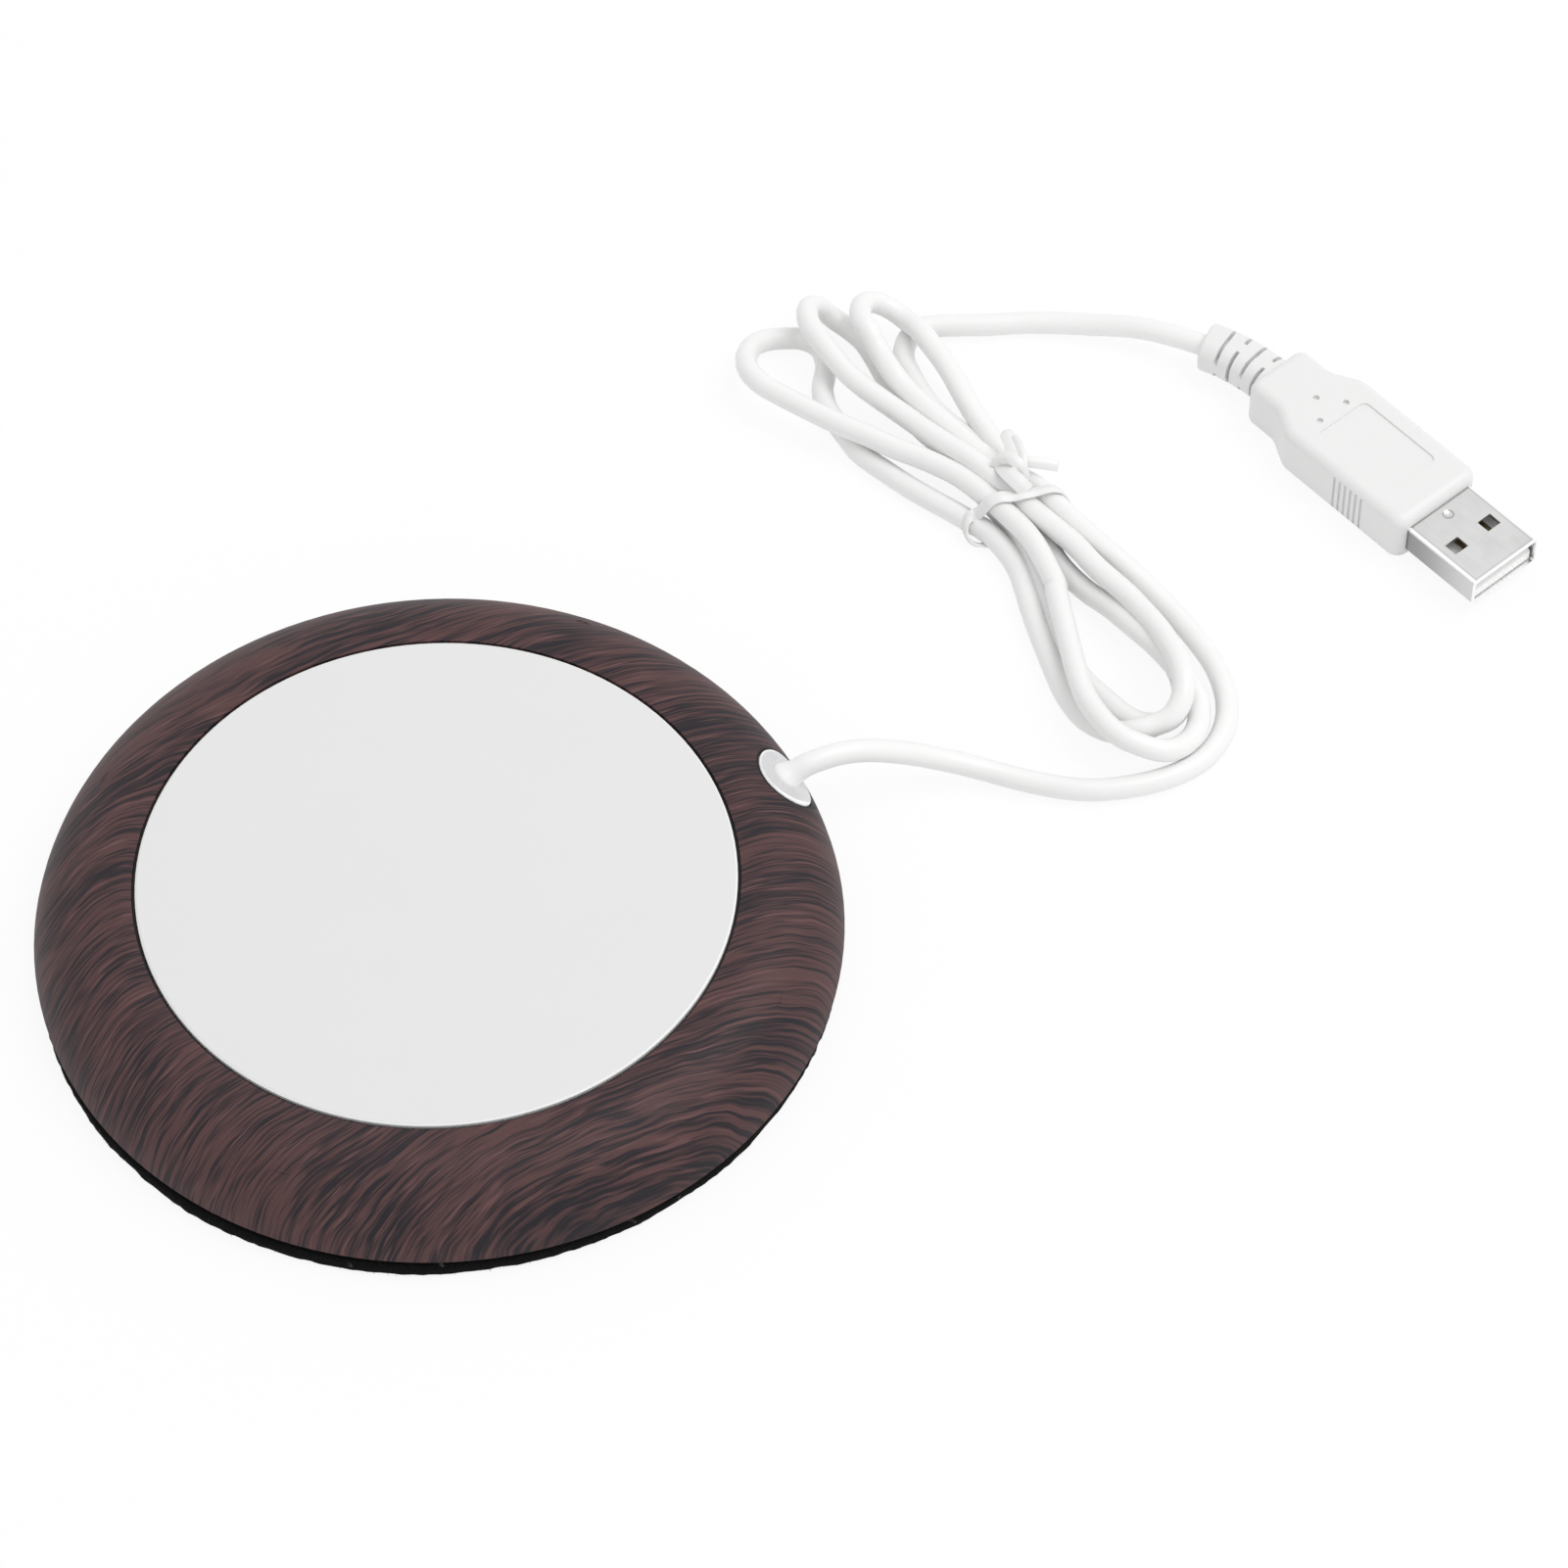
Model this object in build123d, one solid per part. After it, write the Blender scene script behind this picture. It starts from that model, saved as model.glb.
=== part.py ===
from build123d import *
import os
from math import cos, hypot, pi, radians, sin, sqrt, tan

# USB mug warmer. Millimetres, +Z up. The origin is on the table under the middle of the ring,
# and the cord leaves the ring towards +Y. "reach" is a distance from the upright middle axis.

# ---- Crown ring and plate -------------------------------------------------------------------
RING_R = 52.5            # widest reach of the crown ring, at its lower edge
PLATE_R = 38.7           # reach of the warming plate
PLATE_TOP = 13.2         # height of the plate's face
PLATE_T = 1.5            # thickness of the plate
PLATE_CHAMFER = 0.25     # bright turned edge of the plate
PLATE_GAP = 0.45         # open line between the plate and the crown
PLATE_PROUD = 0.3        # how far the plate stands above the crown's rim
CROWN_ROUND = 12.2       # radius of the crown's quarter-round section
WALL = 2.0               # moulded wall of the crown
LEDGE_W = 2.75           # width of the ledge that carries the plate
LEDGE_T = 1.4            # thickness of that ledge
RIM_WALL = 1.9           # wall between the plate's recess and the inner round
RIM_STEP = 1.0           # slant from the ledge's underside up to the inner round
SEAL_T = 0.4             # silicone seal under the plate
SEAL_LIP = 0.3           # seal's upright lip in the open line
SEAL_LIP_H = 0.8         # height of the lip beside the plate
FIT = 0.1                # clearance of moulded parts that seat in each other

# ---- Base -----------------------------------------------------------------------------------
PAD_T = 2.4              # felt foot pad
PAD_INSET = 0.3          # pad's edge inside the crown's lower edge
PAD_EDGE = 0.5           # rounding of the pad's edges
FLANGE_T = 0.6           # base cover's flange, seen as the dark line under the crown
FLANGE_INSET = 0.8       # flange's edge inside the crown's lower edge
FLOOR_T = 1.5            # base cover's floor
SPIGOT_H = 2.4           # base cover's spigot, from the underside
SPIGOT_WALL = 1.2
SPIGOT_FIT = 0.2         # spigot inside the crown's wall

# ---- Heating stack, from the plate downwards --------------------------------------------------
FILM_OVER = 0.5          # polyimide heater film, beyond the insulation's edge
FILM_T = 0.3
TRACK_T = 0.2            # etched heating track
TRACK_W = 1.7
TRACK_PITCH = 4.2        # from one turn of the track to the next
TRACK_EDGE = 4.0         # bare edge of the film outside the last turn
TRACK_INNER = 9.0        # reach of the innermost turn
TRACK_GAP_DEG = 16.0     # open sector where the track turns back
TRACK_PAD_W = 2.6        # pads for the leads
FIBRE_INSET = 1.9        # insulation pad, inside the ledge
FIBRE_GAP = 1.1          # and clear of the cord clamp
PAD_FIBRE_T = 3.0
WINDOW_L = 16.0          # window in the insulation for the cut-out and the leads
WINDOW_W = 9.0
RIB_INSET = 4.5          # ring rib that carries the insulation, inside the pad's edge
RIB_WALL = 1.2
RIB_GATE_W = 22.0        # gate in the rib for the wires
RIB_GATE_X = 6.0

# ---- Base screws ------------------------------------------------------------------------------
SCREW_COUNT = 4
SCREW_INSET = 7.3        # from the crown's lower edge
SCREW_FIRST_DEG = 45.0
SCREW_D = 2.2
SCREW_TOP = 8.4          # height of the screw's tip
HEAD_D = 4.2
HEAD_H = 1.1
HEAD_FIT = 0.25          # clearance round the head
CROSS_L = 2.4            # cross recess of the head
CROSS_W = 0.6
CROSS_DEPTH = 0.5
SCREW_PAD_D = 7.0        # raised pad of the base cover
SCREW_PAD_TOP = 5.0
BOSS_D = 5.0             # boss under the crown

# ---- Cord, grommet and clamp --------------------------------------------------------------------
CORD_D = 3.1
EXIT_ANGLE = 46.3        # where the grommet's middle lies on the crown's round, from level
EXIT_TILT = 28.0         # upward tilt of the cord as it leaves
LENS_HALF_W = 4.9        # half the grommet's width, along the ring
LENS_HALF_H = 4.1        # half its height, up the slope
LENS_FIT = 0.15          # dark line round the grommet
LENS_PROUD = 0.2         # how far it stands out of the slope
LENS_EDGE = 0.35         # rounding of its rim
LENS_FLANGE = 1.0        # retaining flange behind the wall
LENS_FLANGE_T = 0.9
BORE_FIT = 0.1           # grommet's bore round the cord
CORD_ROOT = 2.6          # the cord starts this far inside the grommet's face
TAIL_OUT = 3.6           # sheath's end beyond the middle of the clamp
TAIL_Z = 5.55            # height of the sheath along the floor
CLAMP_BACK = 3.7         # middle of the clamp, behind the cord's bend to the floor
CLAMP_L = 13.0           # length of the clamp bar, across the cord
CLAMP_W = 4.0
CLAMP_TOP = 8.3
CLAMP_POST_X = 4.4
CLAMP_POST_D = 3.8
CLAMP_POST_TOP = 6.1
CLAMP_SCREW_D = 1.6
CLAMP_HEAD_D = 3.2
CLAMP_HEAD_H = 0.9
CLAMP_ROUND = 1.2
SLOT_L = 2.0             # straight recess of the clamp screws
SLOT_W = 0.5
SLOT_DEPTH = 0.4

# ---- Indicator board and wires --------------------------------------------------------------------
BOARD_X = 12.6
BOARD_AHEAD = 2.4        # middle of the board, ahead of the clamp
BOARD_L = 12.0
BOARD_W = 8.0
BOARD_T = 1.0
BOARD_Z = 5.0            # underside of the board, on its two posts
BOARD_ROUND = 0.6
BOARD_POST_D = 2.4
LED_L = 3.5              # lamp
LED_W = 2.8
LED_H = 1.5
LED_ROUND = 0.3
LED_EDGE = 0.4           # lamp's distance from the board's edges
LED_CUP_D = 2.2          # round cup in the lamp's top
LED_CUP_DEPTH = 0.4
CHIP_L = 2.2             # resistor between its end caps
CHIP_W = 1.5
CHIP_H = 0.55
CAP_L = 0.5
CAP_GROW = 0.05          # caps stand proud of the chip
WIRE_D = 1.1
WIRE_SPREAD = 0.75       # each wire's middle from the sheath's middle
CUTOUT_L = 9.0           # thermal cut-out
CUTOUT_W = 4.6
CUTOUT_H = 2.4
CUTOUT_ROUND = 0.6
LEG_OUT = 1.2            # its legs
LEG_W = 1.2
LEG_T = 0.4
LEG_LIFT = 0.5
LEAD_X = 6.4             # where the heater's leads meet the track
LEAD_TURN_Y = 10.0       # where the leads turn in under the middle
LEAD_DROP = 1.6          # leads' middle under the insulation
WIRE_RISE = 1.5          # height that a wire stands up from its pad
PAD_INSET_X = 2.6        # wire pads, in from the board's corner
PAD_INSET_Y = 1.2

# ---- Free cord: points of its two stretches and of the tied hank -------------------------------------
EXIT_RUN = 3.6           # straight run out of the grommet
LEAD_ROUTE = [
    (0.0, 58.4, 11.6), (0.3, 66.0, 7.1), (2.6, 73.6, 3.1), (7.4, 80.2, CORD_D / 2),
    (11.9, 86.6, CORD_D / 2), (13.9, 93.6, CORD_D / 2), (14.0, 97.6, CORD_D / 2),
]
PLUG_ROUTE = [
    (-70.3, 102.2, CORD_D / 2), (-69.0, 107.6, CORD_D / 2), (-66.4, 114.4, CORD_D / 2),
    (-62.4, 121.4, 2.1),
]
PLUG_RUN = 8.0           # straight run into the strain relief
HANK_H = 5.9             # two layers of cord
WAIST = (-35.0, 97.4)    # middle of the tied waist
WAIST_W = 12.2
BIGHTS = [               # rounds that each bight passes outside of: x, y, radius
    [(0.6, 100.2, 10.6), (4.4, 101.9, 10.7)],
    [(-71.8, 80.8, 7.6)],
    [(-79.3, 87.4, 3.7)],
    [(-77.4, 95.6, 3.8)],
]
EYE_FAR = (0.5, 99.8, 5.0)     # rounds inside the open eye of the big bight
EYE_NEAR = (-16.0, 98.8, 1.6)
STUB_L = 4.0             # straight start of the hank that a tube meets
APPROACH_L = 9.0         # length of the tube that runs close beside the hank
TIE_W = 2.4              # twist tie: a flat ribbon round the waist
TIE_T = 0.6
TIE_TWIST_H = 3.6        # twisted part on top, towards the far side
TIE_TWIST_W = 2.6
TIE_TWIST_Y = 1.5
TIE_ROUND = 0.9
TIE_END_L = 6.0
TIE_END_W = 2.0
TIE_ENDS = [(118, 24), (35, 10)]   # each end's heading and lift, in degrees

# ---- USB plug, in its own frame: +X out of the mouth, x = 0 at the overmould's front ---------------
PLUG_AT = (-10.66, 149.46)
PLUG_TURN = 18.4
PLUG_MID_Z = 4.0
SHELL_W = 12.0
SHELL_H = 4.5
SHELL_OUT = 12.8         # length of the steel shell outside the overmould
SHELL_IN = 8.0           # and inside it
SHELL_WALL = 0.3
SHELL_ROUND = 0.55
SEAM_W = 0.12            # folded seam along the underside
LATCH_X = 6.4            # two square latch windows
LATCH_Y = 3.1
LATCH_L = 2.1
LATCH_W = 2.4
DIMPLE_X = 1.7           # round pressed dimple
DIMPLE_D = 1.6
DIMPLE_DEPTH = 0.2
GRIP_T = 8.0             # overmould
GRIP_HALF_W = 7.6
GRIP_L = 22.4            # its wide block
NECK_END = 26.6          # where the narrowing ends
REAR_HALF_W = 5.3
REAR_END = 32.4
FRONT_ROUND = 2.0        # its corners seen from above, from the front to the rear
SHOULDER_ROUND = 3.2
WAIST_ROUND = 2.4
REAR_ROUND = 1.6
GRIP_EDGE = 1.5          # its long edges
PANEL_X = -12.3          # bare recessed panel
PANEL_L = 14.0
PANEL_W = 9.2
PANEL_ROUND = 1.0
PANEL_DEPTH = 0.25
DOTS = [(-24.1, 0.0), (-20.8, 2.5), (-20.8, -2.5)]
DOT_D = 0.9
DOT_DEPTH = 0.5
GROOVE_COUNT = 6
GROOVE_FIRST_X = -12.6
GROOVE_PITCH = 1.02
GROOVE_W = 0.45
GROOVE_DEPTH = 0.3
GROOVE_H = 6.0
RELIEF_W = 6.8           # strain relief
RELIEF_H = 5.6
RELIEF_ROUND = 2.4
RELIEF_EDGE = 0.5        # rounding of its end
RELIEF_BEND = 27.5       # radius of its bend
RELIEF_TURN = 23.6       # angle of its bend
RELIEF_FIRST = 3.2       # from its end to the first slotted station
RELIEF_STEP = 2.35       # from one slotted station to the next
RELIEF_STATIONS = 4
RELIEF_SLOT = 0.55
RELIEF_ROOT = 1.4        # straight start inside the grip
RELIEF_CORE_D = 3.8      # round core that the slots leave about the cord
RELIEF_BRIDGE = 1.7      # webs that join the ribs across each slot
PREMOULD_L = 11.0
PREMOULD_W = 10.8
PREMOULD_H = 3.8
TONGUE_T = 1.9
TONGUE_BACK = 0.6        # tongue's end inside the shell's mouth
TONGUE_SIDE = 0.3
TONGUE_NOSE = 0.4        # slant of its front edge
CONTACT_T = 0.15
CONTACT_W = 1.0
CONTACT_BACK = 1.2       # contacts' ends behind the tongue's end
CONTACTS = [(-3.5, 7.4), (-1.0, 6.4), (1.0, 6.4), (3.5, 7.4)]  # across, length

# ---- Heights and reaches that follow ------------------------------------------------------------------
RING_BASE = PAD_T + FLANGE_T
RIM_TOP = PLATE_TOP - PLATE_PROUD
RIM_R = PLATE_R + PLATE_GAP
PLATE_BASE = PLATE_TOP - PLATE_T
LEDGE_TOP = PLATE_BASE - SEAL_T
LEDGE_R = RIM_R - LEDGE_W
FILM_BASE = PLATE_BASE - FILM_T
TRACK_BASE = FILM_BASE - TRACK_T
FIBRE_BASE = TRACK_BASE - PAD_FIBRE_T
FLOOR_TOP = PAD_T + FLOOR_T
SPIGOT_TOP = PAD_T + SPIGOT_H
LEDGE_ROOT_R = RIM_R + RIM_WALL + RIM_STEP
SCREW_REACH = RING_R - SCREW_INSET


def round_centre():
    """Centre (reach, height) of the crown's quarter-round, from its lower edge and its rim."""
    mid_r = (RING_R + RIM_R) / 2
    mid_z = (RING_BASE + RIM_TOP) / 2
    run = RING_R - RIM_R
    rise = RIM_TOP - RING_BASE
    chord = hypot(run, rise)
    back = sqrt(CROWN_ROUND**2 - (chord / 2) ** 2)
    return mid_r - back * rise / chord, mid_z - back * run / chord


MID_R, MID_Z = round_centre()
INNER_ROUND = CROWN_ROUND - WALL


def inner_reach(z):
    """Reach of the crown's inner wall at height z."""
    return MID_R + sqrt(INNER_ROUND**2 - (z - MID_Z) ** 2)


def inner_height(reach):
    """Height of the crown's inner wall at a reach."""
    return MID_Z + sqrt(INNER_ROUND**2 - (reach - MID_R) ** 2)


EXIT_Y = MID_R + CROWN_ROUND * cos(radians(EXIT_ANGLE))
EXIT_Z = MID_Z + CROWN_ROUND * sin(radians(EXIT_ANGLE))
EXIT_DIR = Vector(0, cos(radians(EXIT_TILT)), sin(radians(EXIT_TILT)))
EXIT_POINT = Vector(0, EXIT_Y, EXIT_Z)
CORD_START = EXIT_POINT - EXIT_DIR * CORD_ROOT
TAIL_BEND_Y = CORD_START.Y - (CORD_START.Z - TAIL_Z) / tan(radians(EXIT_TILT))
CLAMP_Y = TAIL_BEND_Y - CLAMP_BACK
TAIL_END_Y = CLAMP_Y - TAIL_OUT
BOARD_Y = CLAMP_Y + BOARD_AHEAD
FIBRE_R = min(LEDGE_R - FIBRE_INSET, CLAMP_Y - CLAMP_W / 2 - FIBRE_GAP)
RIB_R = FIBRE_R - RIB_INSET
FILM_R = FIBRE_R + FILM_OVER
TRACK_TURNS = 1 + int((FILM_R - TRACK_EDGE - TRACK_INNER) / TRACK_PITCH)


def spun(points):
    """Solid of revolution of a closed outline of (reach, height) points."""
    outline = Polyline(*[(r, 0, z) for r, z in points], close=True)
    return revolve(make_face(outline), Axis.Z)


def rod(start, end, diameter):
    """Round rod between two points."""
    axis = Vector(*end) - Vector(*start)
    return extrude(Plane(Vector(*start), z_dir=axis) * Circle(diameter / 2), axis.length)


def upright(x, y, low, high, diameter):
    return rod((x, y, low), (x, y, high), diameter)


def block(x, y, low, size_x, size_y, height):
    """Upright block standing on height low, with its middle at x, y."""
    return Pos(x, y, low) * Box(size_x, size_y, height, align=(Align.CENTER, Align.CENTER, Align.MIN))


def screw_places():
    """The base screws' places round the ring."""
    step = 360 / SCREW_COUNT
    angles = [radians(SCREW_FIRST_DEG + step * i) for i in range(SCREW_COUNT)]
    return [(SCREW_REACH * cos(a), SCREW_REACH * sin(a)) for a in angles]


def arc_radii(points):
    """Radius at each corner of a cord's path: 0.45 of the shorter run over the half turn's tangent."""
    radii = []
    for before, corner, after in zip(points, points[1:], points[2:]):
        run_in = Vector(*corner) - Vector(*before)
        run_out = Vector(*after) - Vector(*corner)
        half_turn = radians(run_in.get_angle(run_out)) / 2
        radii.append(0.45 * min(run_in.length, run_out.length) / tan(half_turn))
    return radii


def tube(points, diameter, name=None):
    """Round tube along straight runs joined by tangent arcs."""
    radii = arc_radii(points)
    path = FilletPolyline(*[Vector(*p) for p in points], radius=radii)
    section = Plane(path @ 0, z_dir=path % 0) * Circle(diameter / 2)
    solid = sweep(section, path=path)
    if name:
        ideal = pi * (diameter / 2) ** 2 * path.length
        print(name, "length", round(path.length, 1), "least radius", round(min(radii), 1))
        print(name, "corner radii", [round(r, 1) for r in radii])
        print(name, "volume over section x length", round(solid.volume / ideal, 4))
    return solid


# ---- Grommet in the crown's slope -------------------------------------------------------------------
def lens_plane(offset=0.0):
    """Plane across the crown's slope at the cord's exit, offset along the slope's normal."""
    normal = Vector(0, cos(radians(EXIT_ANGLE)), sin(radians(EXIT_ANGLE)))
    return Plane(EXIT_POINT + normal * offset, x_dir=(1, 0, 0), z_dir=normal)


def lens_oval(grow, low, high):
    """Oval prism through the slope, grown by grow, between two offsets from the slope."""
    oval = Ellipse(LENS_HALF_W + grow, LENS_HALF_H + grow)
    return extrude(lens_plane(low) * oval, high - low)


# The slope falls away at the oval's ends, so what goes through the wall starts deeper than the wall.
LENS_DEPTH = WALL + LENS_FLANGE_T + LENS_HALF_H / 2


def cord_grommet():
    """Translucent oval grommet: the cord's gland and the indicator's light guide."""
    stem = lens_oval(0, -LENS_DEPTH, LENS_HALF_H) & crown_body(LENS_PROUD)
    stem -= crown_body(-WALL - FIT - LENS_FLANGE_T)
    stem = fillet(stem.faces().sort_by(lens_normal_axis())[-1].edges(), LENS_EDGE)
    flange = lens_oval(LENS_FLANGE, -LENS_DEPTH, 0) & crown_body(-WALL - FIT)
    flange -= crown_body(-WALL - FIT - LENS_FLANGE_T)
    flange -= upright(0, 0, RING_BASE, RIM_TOP, 2 * (LEDGE_ROOT_R + FIT))
    flange -= block(0, EXIT_Y, PAD_T, 4 * LENS_HALF_W, 4 * LENS_HALF_H, FLOOR_TOP - PAD_T + FIT)
    reach = EXIT_DIR * 2 * (WALL + LENS_HALF_H)
    bore = rod(EXIT_POINT - reach, EXIT_POINT + reach, CORD_D + 2 * BORE_FIT)
    return stem + flange - bore


def lens_normal_axis():
    plane = lens_plane()
    return Axis(plane.origin, plane.z_dir)


# ---- Crown ring ---------------------------------------------------------------------------------------
def crown_body(grow=0.0):
    """Plain body that fills the crown out to its skin, grown by grow."""
    skin = CROWN_ROUND + grow
    slant = skin * sin(radians(45))
    low = (MID_R + sqrt(skin**2 - (RING_BASE - MID_Z) ** 2), 0, RING_BASE)
    top = (MID_R, 0, MID_Z + skin)
    lines = [
        ThreePointArc(low, (MID_R + slant, 0, MID_Z + slant), top),
        Polyline(top, (0, 0, MID_Z + skin), (0, 0, RING_BASE), low),
    ]
    return revolve(make_face(Curve() + lines), Axis.Z)


def crown_section():
    """Section of the crown's wall: quarter-round skin, rim, ledge for the plate, inner round."""
    slant = sin(radians(45))
    skin_middle = (MID_R + CROWN_ROUND * slant, 0, MID_Z + CROWN_ROUND * slant)
    inner_middle = (MID_R + INNER_ROUND * slant, 0, MID_Z + INNER_ROUND * slant)
    inner_top = (LEDGE_ROOT_R, 0, inner_height(LEDGE_ROOT_R))
    inner_low = (inner_reach(RING_BASE), 0, RING_BASE)
    skin_low = (RING_R, 0, RING_BASE)
    rim = (RIM_R, 0, RIM_TOP)
    ledge_base = LEDGE_TOP - LEDGE_T
    lines = [
        ThreePointArc(skin_low, skin_middle, rim),
        Polyline(rim, (RIM_R, 0, LEDGE_TOP), (LEDGE_R, 0, LEDGE_TOP), (LEDGE_R, 0, ledge_base),
                 (RIM_R + RIM_WALL, 0, ledge_base), inner_top),
        ThreePointArc(inner_top, inner_middle, inner_low),
        Line(inner_low, skin_low),
    ]
    return make_face(Curve() + lines)


def top_shell():
    """Crown ring with its screw bosses and the grommet's opening."""
    crown = revolve(crown_section(), Axis.Z)
    for x, y in screw_places():
        boss = upright(x, y, SCREW_PAD_TOP, inner_height(SCREW_REACH) + WALL / 2, BOSS_D)
        crown += boss - upright(x, y, SCREW_PAD_TOP, SCREW_TOP, SCREW_D)
    return crown - lens_oval(LENS_FIT, -LENS_DEPTH, LENS_HALF_H)


# ---- Base ---------------------------------------------------------------------------------------------
def base_cover():
    """Round base cover: flange, floor, spigot, insulation rib, screw pads, clamp and board posts."""
    spigot_r = inner_reach(SPIGOT_TOP) - SPIGOT_FIT
    cover = spun([
        (0, PAD_T), (RING_R - FLANGE_INSET, PAD_T), (RING_R - FLANGE_INSET, RING_BASE),
        (spigot_r, RING_BASE), (spigot_r, SPIGOT_TOP), (spigot_r - SPIGOT_WALL, SPIGOT_TOP),
        (spigot_r - SPIGOT_WALL, FLOOR_TOP), (0, FLOOR_TOP),
    ])
    rib = upright(0, 0, FLOOR_TOP, FIBRE_BASE, 2 * (RIB_R + RIB_WALL))
    rib -= upright(0, 0, FLOOR_TOP, FIBRE_BASE, 2 * RIB_R)
    rib -= block(RIB_GATE_X, RIB_R, FLOOR_TOP, RIB_GATE_W, RIB_R / 2, FIBRE_BASE - FLOOR_TOP)
    cover += rib
    for x, y in screw_places():
        cover += upright(x, y, FLOOR_TOP, SCREW_PAD_TOP, SCREW_PAD_D)
        cover -= upright(x, y, PAD_T, SCREW_PAD_TOP, SCREW_D + 2 * FIT)
        cover -= upright(x, y, PAD_T, PAD_T + HEAD_H + FIT, HEAD_D + 2 * HEAD_FIT)
    notch_w = 2 * (LENS_HALF_W + LENS_FLANGE + SPIGOT_FIT)
    cover -= block(0, spigot_r, FLOOR_TOP, notch_w, 4 * SPIGOT_WALL, SPIGOT_TOP - FLOOR_TOP)
    for x, y in clamp_places():
        post = upright(x, y, FLOOR_TOP, CLAMP_POST_TOP, CLAMP_POST_D)
        cover += post - upright(x, y, FLOOR_TOP, CLAMP_POST_TOP, CLAMP_SCREW_D)
    for x, y in board_posts():
        cover += upright(x, y, FLOOR_TOP, BOARD_Z, BOARD_POST_D)
    return cover


def foot_pad():
    """Felt pad glued under the base."""
    pad = upright(0, 0, 0, PAD_T, 2 * (RING_R - PAD_INSET))
    return fillet(pad.edges().filter_by(GeomType.CIRCLE), PAD_EDGE)


def base_screws():
    """Self-tapping screws from below, heads sunk in the base cover."""
    screws = []
    for x, y in screw_places():
        head = upright(x, y, PAD_T + FIT, PAD_T + HEAD_H, HEAD_D)
        cross = block(x, y, PAD_T, CROSS_L, CROSS_W, CROSS_DEPTH)
        cross += block(x, y, PAD_T, CROSS_W, CROSS_L, CROSS_DEPTH)
        screws.append(head - cross + upright(x, y, PAD_T + HEAD_H, SCREW_TOP, SCREW_D))
    return Compound(children=screws)


# ---- Plate and heating stack --------------------------------------------------------------------------
def warming_plate():
    """Round aluminium plate with a turned chamfer."""
    plate = upright(0, 0, PLATE_BASE, PLATE_TOP, 2 * PLATE_R)
    return chamfer(plate.edges().filter_by(GeomType.CIRCLE).sort_by(Axis.Z)[-1], PLATE_CHAMFER)


def plate_seal():
    """Silicone seal: a flat ring on the ledge with a lip round the plate's edge."""
    outer = RIM_R - FIT / 2
    lip = outer - SEAL_LIP
    return spun([
        (LEDGE_R + FIT, LEDGE_TOP), (outer, LEDGE_TOP), (outer, PLATE_BASE + SEAL_LIP_H),
        (lip, PLATE_BASE + SEAL_LIP_H), (lip, PLATE_BASE), (LEDGE_R + FIT, PLATE_BASE),
    ])


def heater_film():
    """Polyimide film bonded under the plate."""
    return upright(0, 0, FILM_BASE, PLATE_BASE, 2 * FILM_R)


def heater_track():
    """Etched track: arcs that turn back at an open sector, and two pads for the leads."""
    track = None
    for turn in range(TRACK_TURNS):
        reach = TRACK_INNER + TRACK_PITCH * turn
        ring = Circle(reach + TRACK_W / 2) - Circle(reach - TRACK_W / 2)
        track = ring if track is None else track + ring
    last = TRACK_INNER + TRACK_PITCH * (TRACK_TURNS - 1)
    half = radians(TRACK_GAP_DEG / 2)
    wedge = make_face(Polyline((0, 0), (2 * last, 2 * last * tan(half)),
                               (2 * last, -2 * last * tan(half)), close=True))
    track -= wedge
    for turn in range(TRACK_TURNS - 1):
        side = 1 if turn % 2 else -1
        reach = TRACK_INNER + TRACK_PITCH * (turn + 0.5)
        angle = side * (half + TRACK_W / 2 / reach)
        at = Rot(0, 0, angle * 180 / pi) * Pos(reach, 0)
        track += at * Rectangle(TRACK_PITCH + TRACK_W / 2, TRACK_W)
    for side in (-1, 1):
        pad_l = TRACK_INNER - LEAD_X + TRACK_PAD_W
        track += Pos(side * (LEAD_X + TRACK_INNER) / 2, 0) * Rectangle(pad_l, TRACK_PAD_W)
    return extrude(Plane.XY.offset(TRACK_BASE) * track, TRACK_T)


def insulation_pad():
    """Ceramic-fibre pad between the heater and the base, with a window in its middle."""
    pad = upright(0, 0, FIBRE_BASE, TRACK_BASE, 2 * FIBRE_R)
    return pad - block(0, 0, FIBRE_BASE, WINDOW_L, WINDOW_W, PAD_FIBRE_T)


def thermal_cutout():
    """Thermal cut-out held against the heater, with its two legs."""
    low = TRACK_BASE - CUTOUT_H
    body = block(0, 0, low, CUTOUT_L, CUTOUT_W, CUTOUT_H)
    body = fillet(body.edges().filter_by(Axis.X), CUTOUT_ROUND)
    legs = block(0, 0, low + LEG_LIFT, CUTOUT_L + 2 * LEG_OUT, LEG_W, LEG_T)
    return body + legs


# ---- Indicator board ------------------------------------------------------------------------------------
def board_posts():
    return [(BOARD_X + side * BOARD_L / 3, BOARD_Y + side * BOARD_W / 4) for side in (-1, 1)]


def led_board():
    """Small circuit board beside the cord."""
    board = block(BOARD_X, BOARD_Y, BOARD_Z, BOARD_L, BOARD_W, BOARD_T)
    return fillet(board.edges().filter_by(Axis.Z), BOARD_ROUND)


def led():
    """Surface-mount lamp at the board's corner that faces the grommet."""
    x = BOARD_X - BOARD_L / 2 + LED_L / 2 + LED_EDGE
    y = BOARD_Y + BOARD_W / 2 - LED_W / 2 - LED_EDGE
    top = BOARD_Z + BOARD_T + LED_H
    case = block(x, y, BOARD_Z + BOARD_T, LED_L, LED_W, LED_H)
    case = fillet(case.edges().filter_by(Axis.Z), LED_ROUND)
    return case - upright(x, y, top - LED_CUP_DEPTH, top, LED_CUP_D)


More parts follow.
